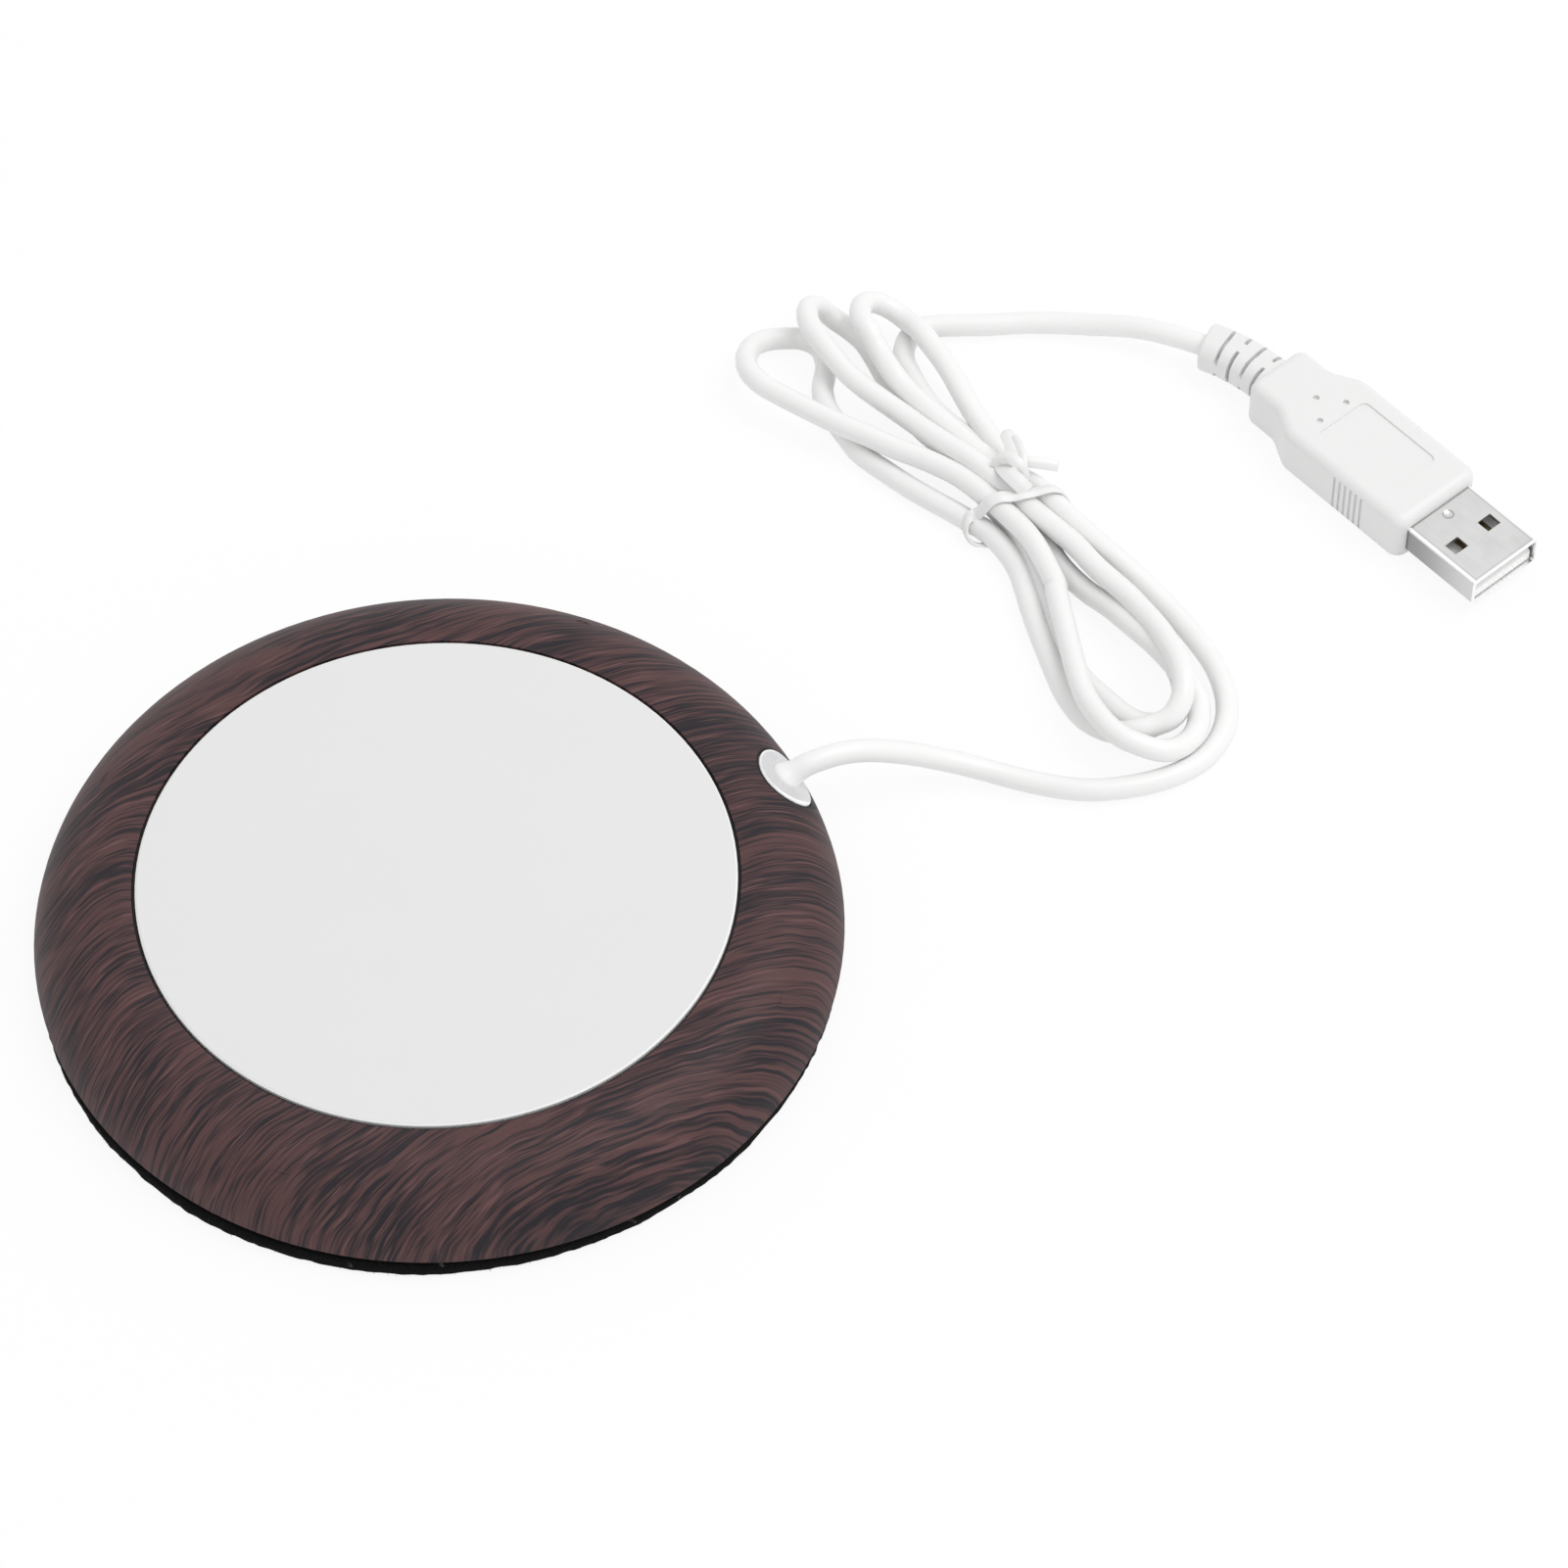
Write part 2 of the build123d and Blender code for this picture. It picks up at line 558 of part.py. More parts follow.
def led_resistor():
    """Chip resistor with two end caps."""
    x = BOARD_X + BOARD_L / 4
    low = BOARD_Z + BOARD_T
    chip = block(x, BOARD_Y, low, CHIP_L, CHIP_W, CHIP_H)
    for side in (-1, 1):
        cap_x = x + side * (CHIP_L + CAP_L) / 2
        chip += block(cap_x, BOARD_Y, low, CAP_L, CHIP_W + 2 * CAP_GROW, CHIP_H + CAP_GROW)
    return chip


# ---- Cord inside the base ---------------------------------------------------------------------------------
def clamp_places():
    return [(-CLAMP_POST_X, CLAMP_Y), (CLAMP_POST_X, CLAMP_Y)]


def tail_points():
    """Sheath inside the base: from its end in the grommet down to the floor and inwards."""
    return [CORD_START, Vector(0, TAIL_BEND_Y, TAIL_Z), Vector(0, TAIL_END_Y, TAIL_Z)]


def cord_tail():
    """Sheathed cord inside the base."""
    return tube([tuple(p) for p in tail_points()], CORD_D)


def cord_clamp():
    """Bar that holds the sheath down on the base cover."""
    bar = block(0, CLAMP_Y, CLAMP_POST_TOP, CLAMP_L, CLAMP_W, CLAMP_TOP - CLAMP_POST_TOP)
    bar = fillet(bar.edges().filter_by(Axis.Z), CLAMP_ROUND)
    bar -= rod((0, CLAMP_Y - CLAMP_W, TAIL_Z), (0, CLAMP_Y + CLAMP_W, TAIL_Z), CORD_D + 2 * FIT)
    for x, y in clamp_places():
        bar -= upright(x, y, CLAMP_POST_TOP, CLAMP_TOP, CLAMP_SCREW_D + 2 * FIT)
    return bar


def clamp_screws():
    """Two small screws of the clamp."""
    screws = []
    for x, y in clamp_places():
        head = upright(x, y, CLAMP_TOP, CLAMP_TOP + CLAMP_HEAD_H, CLAMP_HEAD_D)
        head -= block(x, y, CLAMP_TOP + CLAMP_HEAD_H - SLOT_DEPTH, SLOT_L, SLOT_W, SLOT_DEPTH)
        screws.append(head + upright(x, y, FLOOR_TOP + FIT, CLAMP_TOP, CLAMP_SCREW_D))
    return Compound(children=screws)


def supply_wire(side):
    """Wire from the sheath's end to its pad on the board."""
    x = side * WIRE_SPREAD
    pad_x = BOARD_X - BOARD_L / 2 + PAD_INSET_X - side * WIRE_D
    pad_y = BOARD_Y - BOARD_W / 2 + PAD_INSET_Y
    pad_z = BOARD_Z + BOARD_T
    bend_y = TAIL_END_Y - PAD_INSET_X + side * WIRE_D
    return tube([
        (x, TAIL_END_Y, TAIL_Z),
        (x, bend_y, TAIL_Z),
        (pad_x, bend_y - WIRE_D / 2, TAIL_Z + WIRE_D),
        (pad_x, pad_y, pad_z + WIRE_RISE),
        (pad_x, pad_y, pad_z),
    ], WIRE_D)


def wire_red():
    return supply_wire(-1)


def wire_black():
    return supply_wire(1)


def heater_leads():
    """Two leads from the board down through the rib's gate and up to the track."""
    leads = []
    for side in (-1, 1):
        start_x = BOARD_X + PAD_INSET_X + side * WIRE_D
        start_y = BOARD_Y - BOARD_W / 2 + PAD_INSET_Y
        top = BOARD_Z + BOARD_T
        run_z = FIBRE_BASE - LEAD_DROP
        gate_x = start_x - PAD_INSET_X / 2
        leads.append(tube([
            (start_x, start_y, top),
            (start_x, start_y, top + WIRE_RISE),
            (gate_x, RIB_R - 2 * PAD_INSET_Y, run_z),
            (side * LEAD_X, LEAD_TURN_Y, run_z),
            (side * LEAD_X, 0, run_z),
            (side * LEAD_X, 0, TRACK_BASE),
        ], WIRE_D))
    return Compound(children=leads)


# ---- Free cord --------------------------------------------------------------------------------------------
def power_cord():
    """Free cord from the grommet to the hank."""
    out = EXIT_POINT + EXIT_DIR * EXIT_RUN
    return tube([tuple(CORD_START), tuple(out)] + LEAD_ROUTE, CORD_D, "power_cord")


def plug_cord():
    """Free cord from the hank to the plug's strain relief."""
    end = in_place(relief_at(1.0))
    before = end * Pos(-PLUG_RUN, 0, 0)
    return tube(PLUG_ROUTE + [tuple(before.position), tuple(end.position)], CORD_D, "plug_cord")


def rounds_hull(rounds):
    """Flat outline drawn tight round circles of x, y, radius."""
    edges = [edge for x, y, radius in rounds for edge in (Pos(x, y) * Circle(radius)).edges()]
    return make_hull(edges)


def approach(route_end, route_before):
    """Upright slot beside the hank for the last stretch of a tube, which ends square in it."""
    end = Vector(*route_end)
    back = (Vector(*route_before) - end).normalized()
    section = Plane((end.X, end.Y, 0), x_dir=(0, 0, 1), z_dir=back)
    slot = section * Pos(HANK_H, 0) * Rectangle(2 * HANK_H, CORD_D + 2 * FIT)
    return extrude(slot, APPROACH_L)


def stub(route_end, route_before):
    """Straight piece of cord that carries on from a tube's end into the hank."""
    end = Vector(*route_end)
    ahead = (end - Vector(*route_before)).normalized()
    return rod(end, end + ahead * STUB_L, CORD_D)


def tie_core():
    """Squared waist that the twist tie closes round."""
    low = TIE_T
    return block(WAIST[0], WAIST[1], low, TIE_W, WAIST_W, HANK_H - low)


def cord_hank():
    """Outer shape of the tied hank: one big bight, three small ones, a squared waist."""
    outline = rounds_hull([(*WAIST, WAIST_W / 2)] + BIGHTS[0])
    for bight in BIGHTS[1:]:
        outline += rounds_hull([(*WAIST, WAIST_W / 2)] + bight)
    outline -= rounds_hull([EYE_FAR, EYE_NEAR])
    hank = extrude(outline, HANK_H)
    hank = hank - approach(LEAD_ROUTE[-1], LEAD_ROUTE[-2]) + stub(LEAD_ROUTE[-1], LEAD_ROUTE[-2])
    hank += stub(PLUG_ROUTE[0], PLUG_ROUTE[1])
    groove = block(WAIST[0], WAIST[1], 0, TIE_W, 3 * WAIST_W, HANK_H + 1)
    return hank - (groove - tie_core())


def twist_tie():
    """Flat ribbon round the hank's waist, twisted together on top, with two short ends."""
    x, y = WAIST
    band = block(x, y, 0, TIE_W, WAIST_W + 2 * TIE_T, HANK_H + TIE_T)
    band = fillet(band.edges().filter_by(Axis.X), 2 * TIE_T)
    band -= tie_core()
    top = HANK_H + TIE_T
    twist = block(x, y + TIE_TWIST_Y, top - TIE_T / 2, TIE_W, TIE_TWIST_W, TIE_TWIST_H)
    band += fillet(twist.edges().filter_by(Axis.Y), TIE_ROUND)
    for turn, lift in TIE_ENDS:
        ribbon = Pos(x, y + TIE_TWIST_Y, top + TIE_TWIST_H / 2) * Rot(0, 0, turn) * Rot(0, -lift, 0)
        band += ribbon * Pos(TIE_END_L / 2, 0, 0) * Box(TIE_END_L, TIE_END_W, TIE_T)
    return band


# ---- Plug ------------------------------------------------------------------------------------------------
def in_place(piece):
    """From the plug's own frame to its place on the table."""
    return Pos(PLUG_AT[0], PLUG_AT[1], 0) * Rot(0, 0, PLUG_TURN) * piece


def relief_at(share):
    """Place and heading on the strain relief's bent middle line, 0 at the grip and 1 at its end."""
    turned = radians(RELIEF_TURN) * share
    x = -REAR_END - RELIEF_BEND * sin(turned)
    y = -RELIEF_BEND * (1 - cos(turned))
    return Pos(x, y, PLUG_MID_Z) * Rot(0, 0, share * RELIEF_TURN)


def grip_corners():
    """Corners of the overmould's plan, each with its rounding."""
    side = [
        (-REAR_END, REAR_HALF_W, REAR_ROUND), (-NECK_END, REAR_HALF_W, WAIST_ROUND),
        (-GRIP_L, GRIP_HALF_W, SHOULDER_ROUND), (0, GRIP_HALF_W, FRONT_ROUND),
    ]
    return side + [(x, -y, radius) for x, y, radius in reversed(side)]


def plug_overmould():
    """Soft grip with a bent, slotted strain relief, ribbed sides, three dots and a bare panel."""
    corners = grip_corners()
    radii = [radius for _, _, radius in corners]
    outline = FilletPolyline(*[(x, y) for x, y, _ in corners], radius=radii, close=True)
    low = PLUG_MID_Z - GRIP_T / 2
    top = PLUG_MID_Z + GRIP_T / 2
    grip = extrude(Plane.XY.offset(low) * make_face(outline), GRIP_T)
    faces = grip.faces().sort_by(Axis.Z)
    grip = fillet(faces[0].edges() + faces[-1].edges(), GRIP_EDGE)
    panel = Pos(PANEL_X, 0, top - PANEL_DEPTH) * RectangleRounded(PANEL_L, PANEL_W, PANEL_ROUND)
    grip -= extrude(panel, PANEL_DEPTH)
    for x, y in DOTS:
        grip -= upright(x, y, top - DOT_DEPTH, top, DOT_D)
    for i in range(GROOVE_COUNT):
        x = GROOVE_FIRST_X + GROOVE_PITCH * i
        groove_base = PLUG_MID_Z - GROOVE_H / 2
        for side in (-1, 1):
            grip -= block(x, side * GRIP_HALF_W, groove_base, GROOVE_W, 2 * GROOVE_DEPTH, GROOVE_H)
    grip -= shell_block(-SHELL_IN, 0, 0)
    grip -= premould_block()
    return in_place(grip + strain_relief())


def strain_relief():
    """Bent neck of the grip: slots top and bottom or left and right in turn, round a whole core."""
    section = RectangleRounded(RELIEF_W, RELIEF_H, RELIEF_ROUND)
    root = Plane((RELIEF_ROOT - REAR_END, 0, PLUG_MID_Z), x_dir=(0, 1, 0), z_dir=(-1, 0, 0))
    start = Plane((-REAR_END, 0, PLUG_MID_Z), x_dir=(0, 1, 0), z_dir=(-1, 0, 0))
    bend = Axis((-REAR_END, -RELIEF_BEND, 0), (0, 0, 1))
    sleeve = revolve(start * section, bend, RELIEF_TURN)
    end = sleeve.faces().sort_by(Axis.X)[0]
    neck = extrude(root * section, RELIEF_ROOT) + fillet(end.edges(), RELIEF_EDGE)
    length = RELIEF_BEND * radians(RELIEF_TURN)
    across = 2 * RELIEF_W
    core = Rot(0, 90, 0) * Cylinder(RELIEF_CORE_D / 2, 2 * RELIEF_SLOT)
    for station in range(RELIEF_STATIONS):
        share = (length - RELIEF_FIRST - RELIEF_STEP * station) / length
        web = (RELIEF_BRIDGE, across) if station % 2 else (across, RELIEF_BRIDGE)
        slot = Box(RELIEF_SLOT, across, across) - Box(2 * RELIEF_SLOT, *web) - core
        neck -= relief_at(share) * slot
    return neck


def shell_block(start, end, shrink):
    """Rounded block with the steel shell's section, shrunk by its wall where asked."""
    section = RectangleRounded(SHELL_W - 2 * shrink, SHELL_H - 2 * shrink, SHELL_ROUND - shrink / 2)
    plane = Plane((start, 0, PLUG_MID_Z), x_dir=(0, 1, 0), z_dir=(1, 0, 0))
    return extrude(plane * section, end - start)


def premould_block():
    return Pos(-SHELL_IN - PREMOULD_L / 2, 0, PLUG_MID_Z) * Box(PREMOULD_L, PREMOULD_W, PREMOULD_H)


def plug_premould():
    """Hard inner block behind the shell."""
    return in_place(premould_block())


def plug_shell():
    """Folded steel shell with two latch windows above and below and a pressed dimple."""
    shell = shell_block(-SHELL_IN, SHELL_OUT, 0) - shell_block(-SHELL_IN, SHELL_OUT, SHELL_WALL)
    for side in (-1, 1):
        shell -= block(LATCH_X, side * LATCH_Y, 0, LATCH_L, LATCH_W, GRIP_T)
    top = PLUG_MID_Z + SHELL_H / 2
    dimple_r = (DIMPLE_D**2 / 4 + DIMPLE_DEPTH**2) / (2 * DIMPLE_DEPTH)
    shell -= Pos(DIMPLE_X, 0, top - DIMPLE_DEPTH + dimple_r) * Sphere(dimple_r)
    shell -= block(SHELL_OUT / 2, 0, 0, SHELL_OUT, SEAM_W, PLUG_MID_Z)
    return in_place(shell)


def plug_tongue():
    """Insulator in the lower half of the shell."""
    low = PLUG_MID_Z - SHELL_H / 2 + SHELL_WALL + FIT
    width = SHELL_W - 2 * SHELL_WALL - 2 * TONGUE_SIDE
    length = SHELL_IN + SHELL_OUT - TONGUE_BACK
    tongue = block(length / 2 - SHELL_IN, 0, low, length, width, TONGUE_T)
    nose = tongue.faces().sort_by(Axis.X)[-1].edges().sort_by(Axis.Z)[-1]
    return in_place(chamfer(nose, TONGUE_NOSE))


def plug_contacts():
    """Four plated contacts on the tongue."""
    low = PLUG_MID_Z - SHELL_H / 2 + SHELL_WALL + FIT + TONGUE_T
    front = SHELL_OUT - TONGUE_BACK - CONTACT_BACK
    strips = []
    for y, length in CONTACTS:
        strips.append(in_place(block(front - length / 2, y, low, length, CONTACT_W, CONTACT_T)))
    return Compound(children=strips)


PIECES = [
    top_shell, base_cover, foot_pad, base_screws, warming_plate, plate_seal, heater_film,
    heater_track, insulation_pad, thermal_cutout, led_board, led, led_resistor, cord_grommet,
    cord_tail, cord_clamp, clamp_screws, wire_red, wire_black, heater_leads, power_cord,
    cord_hank, twist_tie, plug_cord, plug_overmould, plug_premould, plug_shell, plug_tongue,
    plug_contacts,
]

os.makedirs("parts", exist_ok=True)
for piece in PIECES:
    export_step(piece(), f"parts/{piece.__name__}.step")
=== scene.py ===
"""Dresses a mug warmer: finishes on its solids, and its cord, tie, felt foot and stage."""

import math
import random

import bmesh
import bpy
from bpy.props import FloatProperty, FloatVectorProperty, IntProperty, PointerProperty
from bpy.types import Operator, Panel, PropertyGroup
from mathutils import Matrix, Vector, noise


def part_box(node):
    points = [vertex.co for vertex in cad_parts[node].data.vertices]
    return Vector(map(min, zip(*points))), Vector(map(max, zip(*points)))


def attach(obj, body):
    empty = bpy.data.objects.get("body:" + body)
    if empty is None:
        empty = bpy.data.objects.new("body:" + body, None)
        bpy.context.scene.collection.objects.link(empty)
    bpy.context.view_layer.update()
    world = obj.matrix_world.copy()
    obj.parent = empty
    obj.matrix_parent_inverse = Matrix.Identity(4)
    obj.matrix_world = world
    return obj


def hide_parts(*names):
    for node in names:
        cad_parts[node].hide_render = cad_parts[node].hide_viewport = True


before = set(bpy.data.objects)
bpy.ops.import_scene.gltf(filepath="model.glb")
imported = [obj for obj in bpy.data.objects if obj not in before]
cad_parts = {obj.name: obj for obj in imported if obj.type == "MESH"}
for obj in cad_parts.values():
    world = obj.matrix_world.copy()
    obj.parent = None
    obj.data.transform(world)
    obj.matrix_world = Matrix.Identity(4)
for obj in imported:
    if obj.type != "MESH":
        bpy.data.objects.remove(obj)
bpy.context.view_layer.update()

bl_info = {
    "name": "Mug Warmer Dressing",
    "version": (1, 0, 0),
    "blender": (4, 5, 0),
    "location": "View3D > Sidebar > Mug Warmer",
    "description": "Finishes a mug warmer's solids and adds its cord, tie, felt foot and stage",
    "category": "Object",
}

# ---- sizes, metres
BODY = "root"
RING_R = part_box("top_shell")[1].x
PLATE_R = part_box("warming_plate")[1].x
PAD_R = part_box("foot_pad")[1].x
PAD_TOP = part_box("foot_pad")[1].z
CORD_D = 0.0031
GROMMET_MOUTH = (0.0, 0.04893, 0.0096)

# The plug: the middle of its shell's root, its heading, and the shell's sizes.
PLUG_AT = (-0.01066, 0.14946, 0.0)
PLUG_TURN = math.radians(18.4)
SHELL_LENGTH = 0.0128
SHELL_HALF_WIDTH = 0.006
SHELL_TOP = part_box("plug_shell")[1].z
DIMPLE_AT = (0.0017, 0.0, 0.0)

# The felt foot: points round its edge, its profile as (inward from the edge, share of its height),
# and the loose fibres that stand out of it.
FOOT_STEPS = 480
FOOT_PROFILE = [
    (0.0012, 0.0), (0.0004, 0.03), (0.0, 0.25), (0.0, 0.75), (0.0003, 0.95), (0.0012, 1.0), (0.004, 1.0),
]
FOOT_MARGIN = 0.0001  # room left at the felt's limits
EDGE_WAVES = ((0.6, 90.0), (0.5, 900.0))  # strength and scale
EDGE_DRAW_IN = 0.5
SLIP_POWER = 3
FIBRE_LENGTH = 0.0005
FIBRE_LENGTH_SHARES = (0.4, 1.0)
FIBRE_HEIGHT_SHARES = (0.12, 0.9)
FIBRE_RISE = 0.4
FIBRE_WIDTH = 0.00004
FIBRE_THICKNESS = 0.00006
FIBRE_ROOT = 0.0003
FIBRE_SEED = 7

# The stage.
CAMERA_AT = (0.4687, -0.14909, 0.66777)
CAMERA_AIM = (-0.00587, 0.05089, 0.0)
SENSOR_MM = 36.0
KEY_AT = (0.15, 0.55, 1.0)
KEY_AIM = (0.0, 0.05, 0.0)
FLOOR_HALF = 6.0
FLOOR_GLOW_SHARE = 0.9
FLOOR_DROP = 0.00004  # the floor lies this far under the object, so that no two faces share a place
CONTACT_GAP = 0.0003  # shorter rays than this start where the object rests on the floor

# ---- cord and tie, millimetres
MM = 0.001
# Cord, first stretch: from inside the grommet over the ring's shoulder and down to the table. In
# all the cord's lists a place without a height lies on the table.
LEAD_ROUTE = [
    (0, 46.6, 8.4), (0, 48.3, 9.28), (0, 49.17, 9.74), (0, 49.96, 10.14), (0, 52.3, 11.1),
    (0, 58.4, 10.7), (0.3, 66, 6.6), (2.6, 73.6, 2.9), (7.4, 80.2), (11.9, 86.6), (13.7, 93.1),
    (14.1, 99.1), (12.7, 104.7), (8, 109.5), (1, 111.6), (-6.2, 111.1), (-13.4, 109.5, 2),
    (-20.2, 107, 3.2), (-26.6, 104.2, 4.2),
]
# The cord swells into its moulded root where it leaves the grommet: shares of its diameter.
ROOT_SWELL = (1.0, 1.55, 1.3, 1.05)
# Last stretch: out of the tied waist, round under the far bight and away to the plug.
PLUG_ROUTE = [
    (-42.6, 97.8), (-47.2, 97.5), (-51, 96.9), (-56.1, 95), (-60.6, 94.4), (-64.3, 94.5),
    (-66.6, 94.6), (-68.4, 95.3), (-70.4, 96.8), (-71.5, 98.8), (-71.2, 100.9), (-70.5, 102.8),
    (-69.3, 106), (-68.5, 107.8), (-66.4, 114.4), (-62.4, 121.4, 2.1), (-57.1, 128.2, 4),
    (-51.1, 133.6, 4),
]

# The waist, where the tie holds seven strands in two layers. Across is towards the far side.
WAIST = Vector((-34.0, 97.6))
WAIST_TURN = math.radians(16)
WAIST_ALONG = Vector((math.cos(WAIST_TURN), math.sin(WAIST_TURN)))
WAIST_ACROSS = Vector((-math.sin(WAIST_TURN), math.cos(WAIST_TURN)))
WAIST_HALF_RUN = 1.6
LOW = 1.6    # height of the cord's middle where it lies on the table
HIGH = 4.65  # and in the layer above
# Each strand through the waist: how far across it lies, and its height.
STRANDS = {
    "lead": (4.1, HIGH),
    "back_1": (5.0, LOW),
    "out_2": (-1.4, LOW),
    "back_2": (1.0, HIGH),
    "out_3": (-4.6, LOW),
    "back_3": (-2.2, HIGH),
    "plug": (1.8, LOW),
}
# Each bight of the hank in turn: the strand it leaves the waist by, the strand it comes back by,
# its side of the waist (1 towards the mug's right), and its control points.
BIGHTS = [
    ("lead", "back_1", -1, [
        (-41.3, 98.4, 4.3), (-44.7, 96.8, 4.1), (-48.9, 95.3, 4.2), (-53.1, 93.7, 4.6),
        (-56.3, 92.4, 5), (-59.6, 91.4, 5.2), (-62.2, 90.7, 6.1), (-66.4, 90.6, 6), (-68.6, 90.2, 7.8),
        (-71.2, 89.8, 8.1), (-74.4, 91.4, 7.1), (-75.3, 93.5, 5.8), (-74.8, 95.1, 4.8),
        (-73.8, 96.3, 4.1), (-71.8, 97.3, 3.7), (-68.6, 97.7, 5), (-65.9, 98.1, 5), (-60.9, 98.9, 4.4),
        (-54, 99.1, 3.2), (-48.6, 99.9, 2.2), (-43.2, 100.7),
    ]),
    ("back_1", "out_2", 1, [
        (-25.7, 103.2), (-16.5, 105.5), (-11.5, 105.9), (-5.5, 106.6), (-0.6, 106.4), (2.6, 105.3),
        (5.2, 102.6), (5.3, 99.3), (3, 96.9), (-1.4, 95.4), (-5.6, 94), (-9.6, 93.8), (-14.7, 94.4),
        (-17.4, 95.1), (-21.3, 95.7),
    ]),
    ("out_2", "back_2", -1, [
        (-42.2, 94.9), (-49.3, 93.8), (-54.3, 91.9), (-59.1, 91.2), (-63.3, 91.1), (-68.3, 91.2),
        (-71.3, 90.7, 2.7), (-75.1, 90.1), (-77.3, 88.7, 2), (-78.3, 87.6, 3.3), (-78.4, 86.6, 4.5),
        (-77.8, 85, 5.9), (-75.7, 83.7, 6.9), (-73.6, 83.3, 6.9), (-71.3, 83.7, 6.6),
        (-68.9, 84.2, 6.2), (-65.1, 85, 5.6), (-62.6, 86, 5.2), (-59.9, 87.3, 4.9), (-55.6, 89.5, 4.6),
        (-49.8, 91.6, 5.1), (-43.2, 94.8, 5.7), (-39.6, 96.3, 5.2),
    ]),
    ("back_2", "out_3", 1, [
        (-28.4, 100.5, 4.7), (-24.6, 101.8, 4.8), (-20.2, 102.5, 4.9), (-13.7, 104.5, 5.2),
        (-10.3, 104.9, 5.7), (-6.5, 105.4, 6.3), (-0.6, 105.2, 7.5), (3.3, 104.5, 7.9),
        (5.1, 103.8, 7.3), (6.6, 102.7, 6.4), (7.7, 100.9, 5.4), (7.4, 98.7, 4.6), (7.2, 96.2, 4.4),
        (6.1, 94.6, 3.4), (4.5, 93.4, 2.4), (2.1, 92.2), (-0.3, 91.2), (-3.3, 90.9), (-6, 91),
        (-12, 91.7), (-17.5, 92.4), (-22.1, 93.3), (-26.4, 94.1),
    ]),
    ("out_3", "back_3", -1, [
        (-36.1, 91.6), (-38.5, 90.3), (-42.1, 88.1), (-45.5, 86.1), (-49.3, 84.3), (-51.3, 83.3),
        (-53.8, 82.3), (-55.8, 82), (-62.3, 81.3), (-64.2, 81.5), (-66.4, 82.1), (-68.4, 83.4),
        (-70.3, 84.5), (-72.7, 85), (-74.8, 84.5), (-76.3, 83), (-76.9, 81.6), (-77.6, 79.7),
        (-77.4, 77.6, 2.2), (-76.3, 75.5, 3), (-73.8, 73.7, 4), (-70.8, 72.8, 5.1), (-68.1, 73.2, 5.4),
        (-66.2, 74.1, 5.4), (-60.9, 77.7, 5.2), (-57.2, 80.5, 4.9), (-53.7, 83.6, 4.7),
        (-50.7, 85.7, 4.6), (-47, 89.1, 4.5), (-43.1, 91.9, 4.5), (-40.6, 93.1, 4.5),
    ]),
    ("back_3", "plug", 1, [
        (-28.3, 96.7, 4.7), (-24, 96.7, 4.8), (-19.1, 96.4, 4.8), (-18.9, 96, 4.9), (-9.6, 93.8, 5.2),
        (-4.6, 92.5, 5.6), (0.8, 91.5, 6), (5.8, 91.9, 6.4), (8.6, 93.1, 6.2), (9.9, 94.3, 6),
        (11.5, 96.5, 5.2), (12.1, 98.9, 4.4), (11.1, 102, 3.7), (9.2, 104.2, 3.6), (7.1, 105.3, 3.6),
        (5.4, 106, 3.8), (3.2, 106, 4.2), (1, 105.7, 4.5), (-2.4, 105, 4.7), (-5.4, 104.3, 4.7),
        (-10.2, 103.1, 3.9), (-15.1, 102.3, 2.5), (-19.3, 100.7, 1.7), (-25.7, 99.1),
    ]),
]

# The tie's ribbon, from the waist's middle: along the strands, across them, and up.
TIE_BAND = [
    (-3.5, -5, 3.5), (-3.1, -4.6, 4.1), (-2.65, -4.1, 5.2), (-2.3, -3.4, 6.2), (-1.75, -2.2, 6.7),
    (-0.9, -0.8, 6.55), (-0.1, 0.6, 6.7), (0.6, 2.3, 6.6), (1.3, 3.9, 6.7), (1.8, 5.1, 6.15),
    (2, 5.95, 4.8), (2.1, 6.55, 3.2), (2, 6.9, 1.7), (1.8, 6.2, 0.7), (1.5, 4.4, 0.52),
    (1, 0, 0.5), (0.4, -3.6, 0.5), (-0.3, -5.6, 0.5), (-1.3, -6.9, 0.75), (-2.4, -7.3, 1.5),
    (-3.3, -6.9, 2.5), (-3.7, -6, 3.2),
]
# Its ends twist into a knot and part: one turns back in a loop, one lies flat. Each run of
# ribbon: its places, its share of the width, and whether its tip is round.
TIE_RUNS = [
    ([(-0.1, 1.3, 6.8), (-1, 0.85, 7.7), (-2.1, 0.65, 8.1), (-3.5, 0.65, 8.1), (-5, 1.2, 7.4),
      (-6.2, 1.8, 6.8)], 1.35, False),
    ([(-6, 0.8, 6.9), (-6, 1.15, 8), (-5.3, 1.8, 8.8), (-4.25, 2.2, 9), (-3.1, 2.4, 8.6),
      (-2.3, 2.35, 7.6), (-1.75, 2.1, 6.8)], 1.0, False),
    ([(-3.5, 2.45, 8.3), (-4.9, 3.15, 8.6), (-6.9, 4.15, 8.3), (-8.8, 5.1, 7.8), (-9.9, 5.6, 7.4)],
     1.15, True),
    ([(-2.8, 2.9, 8.2), (-4.2, 3.85, 8.8), (-6.1, 4.8, 8.7), (-7.9, 5.4, 8.2)], 0.65, True),
    ([(-4.1, 3.4, 8.1), (-3, 4.5, 8), (-1.9, 5.8, 7.7), (-0.75, 7.3, 7.2)], 0.95, False),
]
BAND_MIDDLE = 3.1  # height that the band's face looks away from
BAND_LEAN = 0.6    # how much it also looks outwards across the strands
TIE_FACING = Vector((0.45, -0.37, 0.8))
TIP_LEAST = 0.06   # square of the share of the width that a round tip ends with
TIE_LOWEST = 0.03  # height that no part of the ribbon goes under
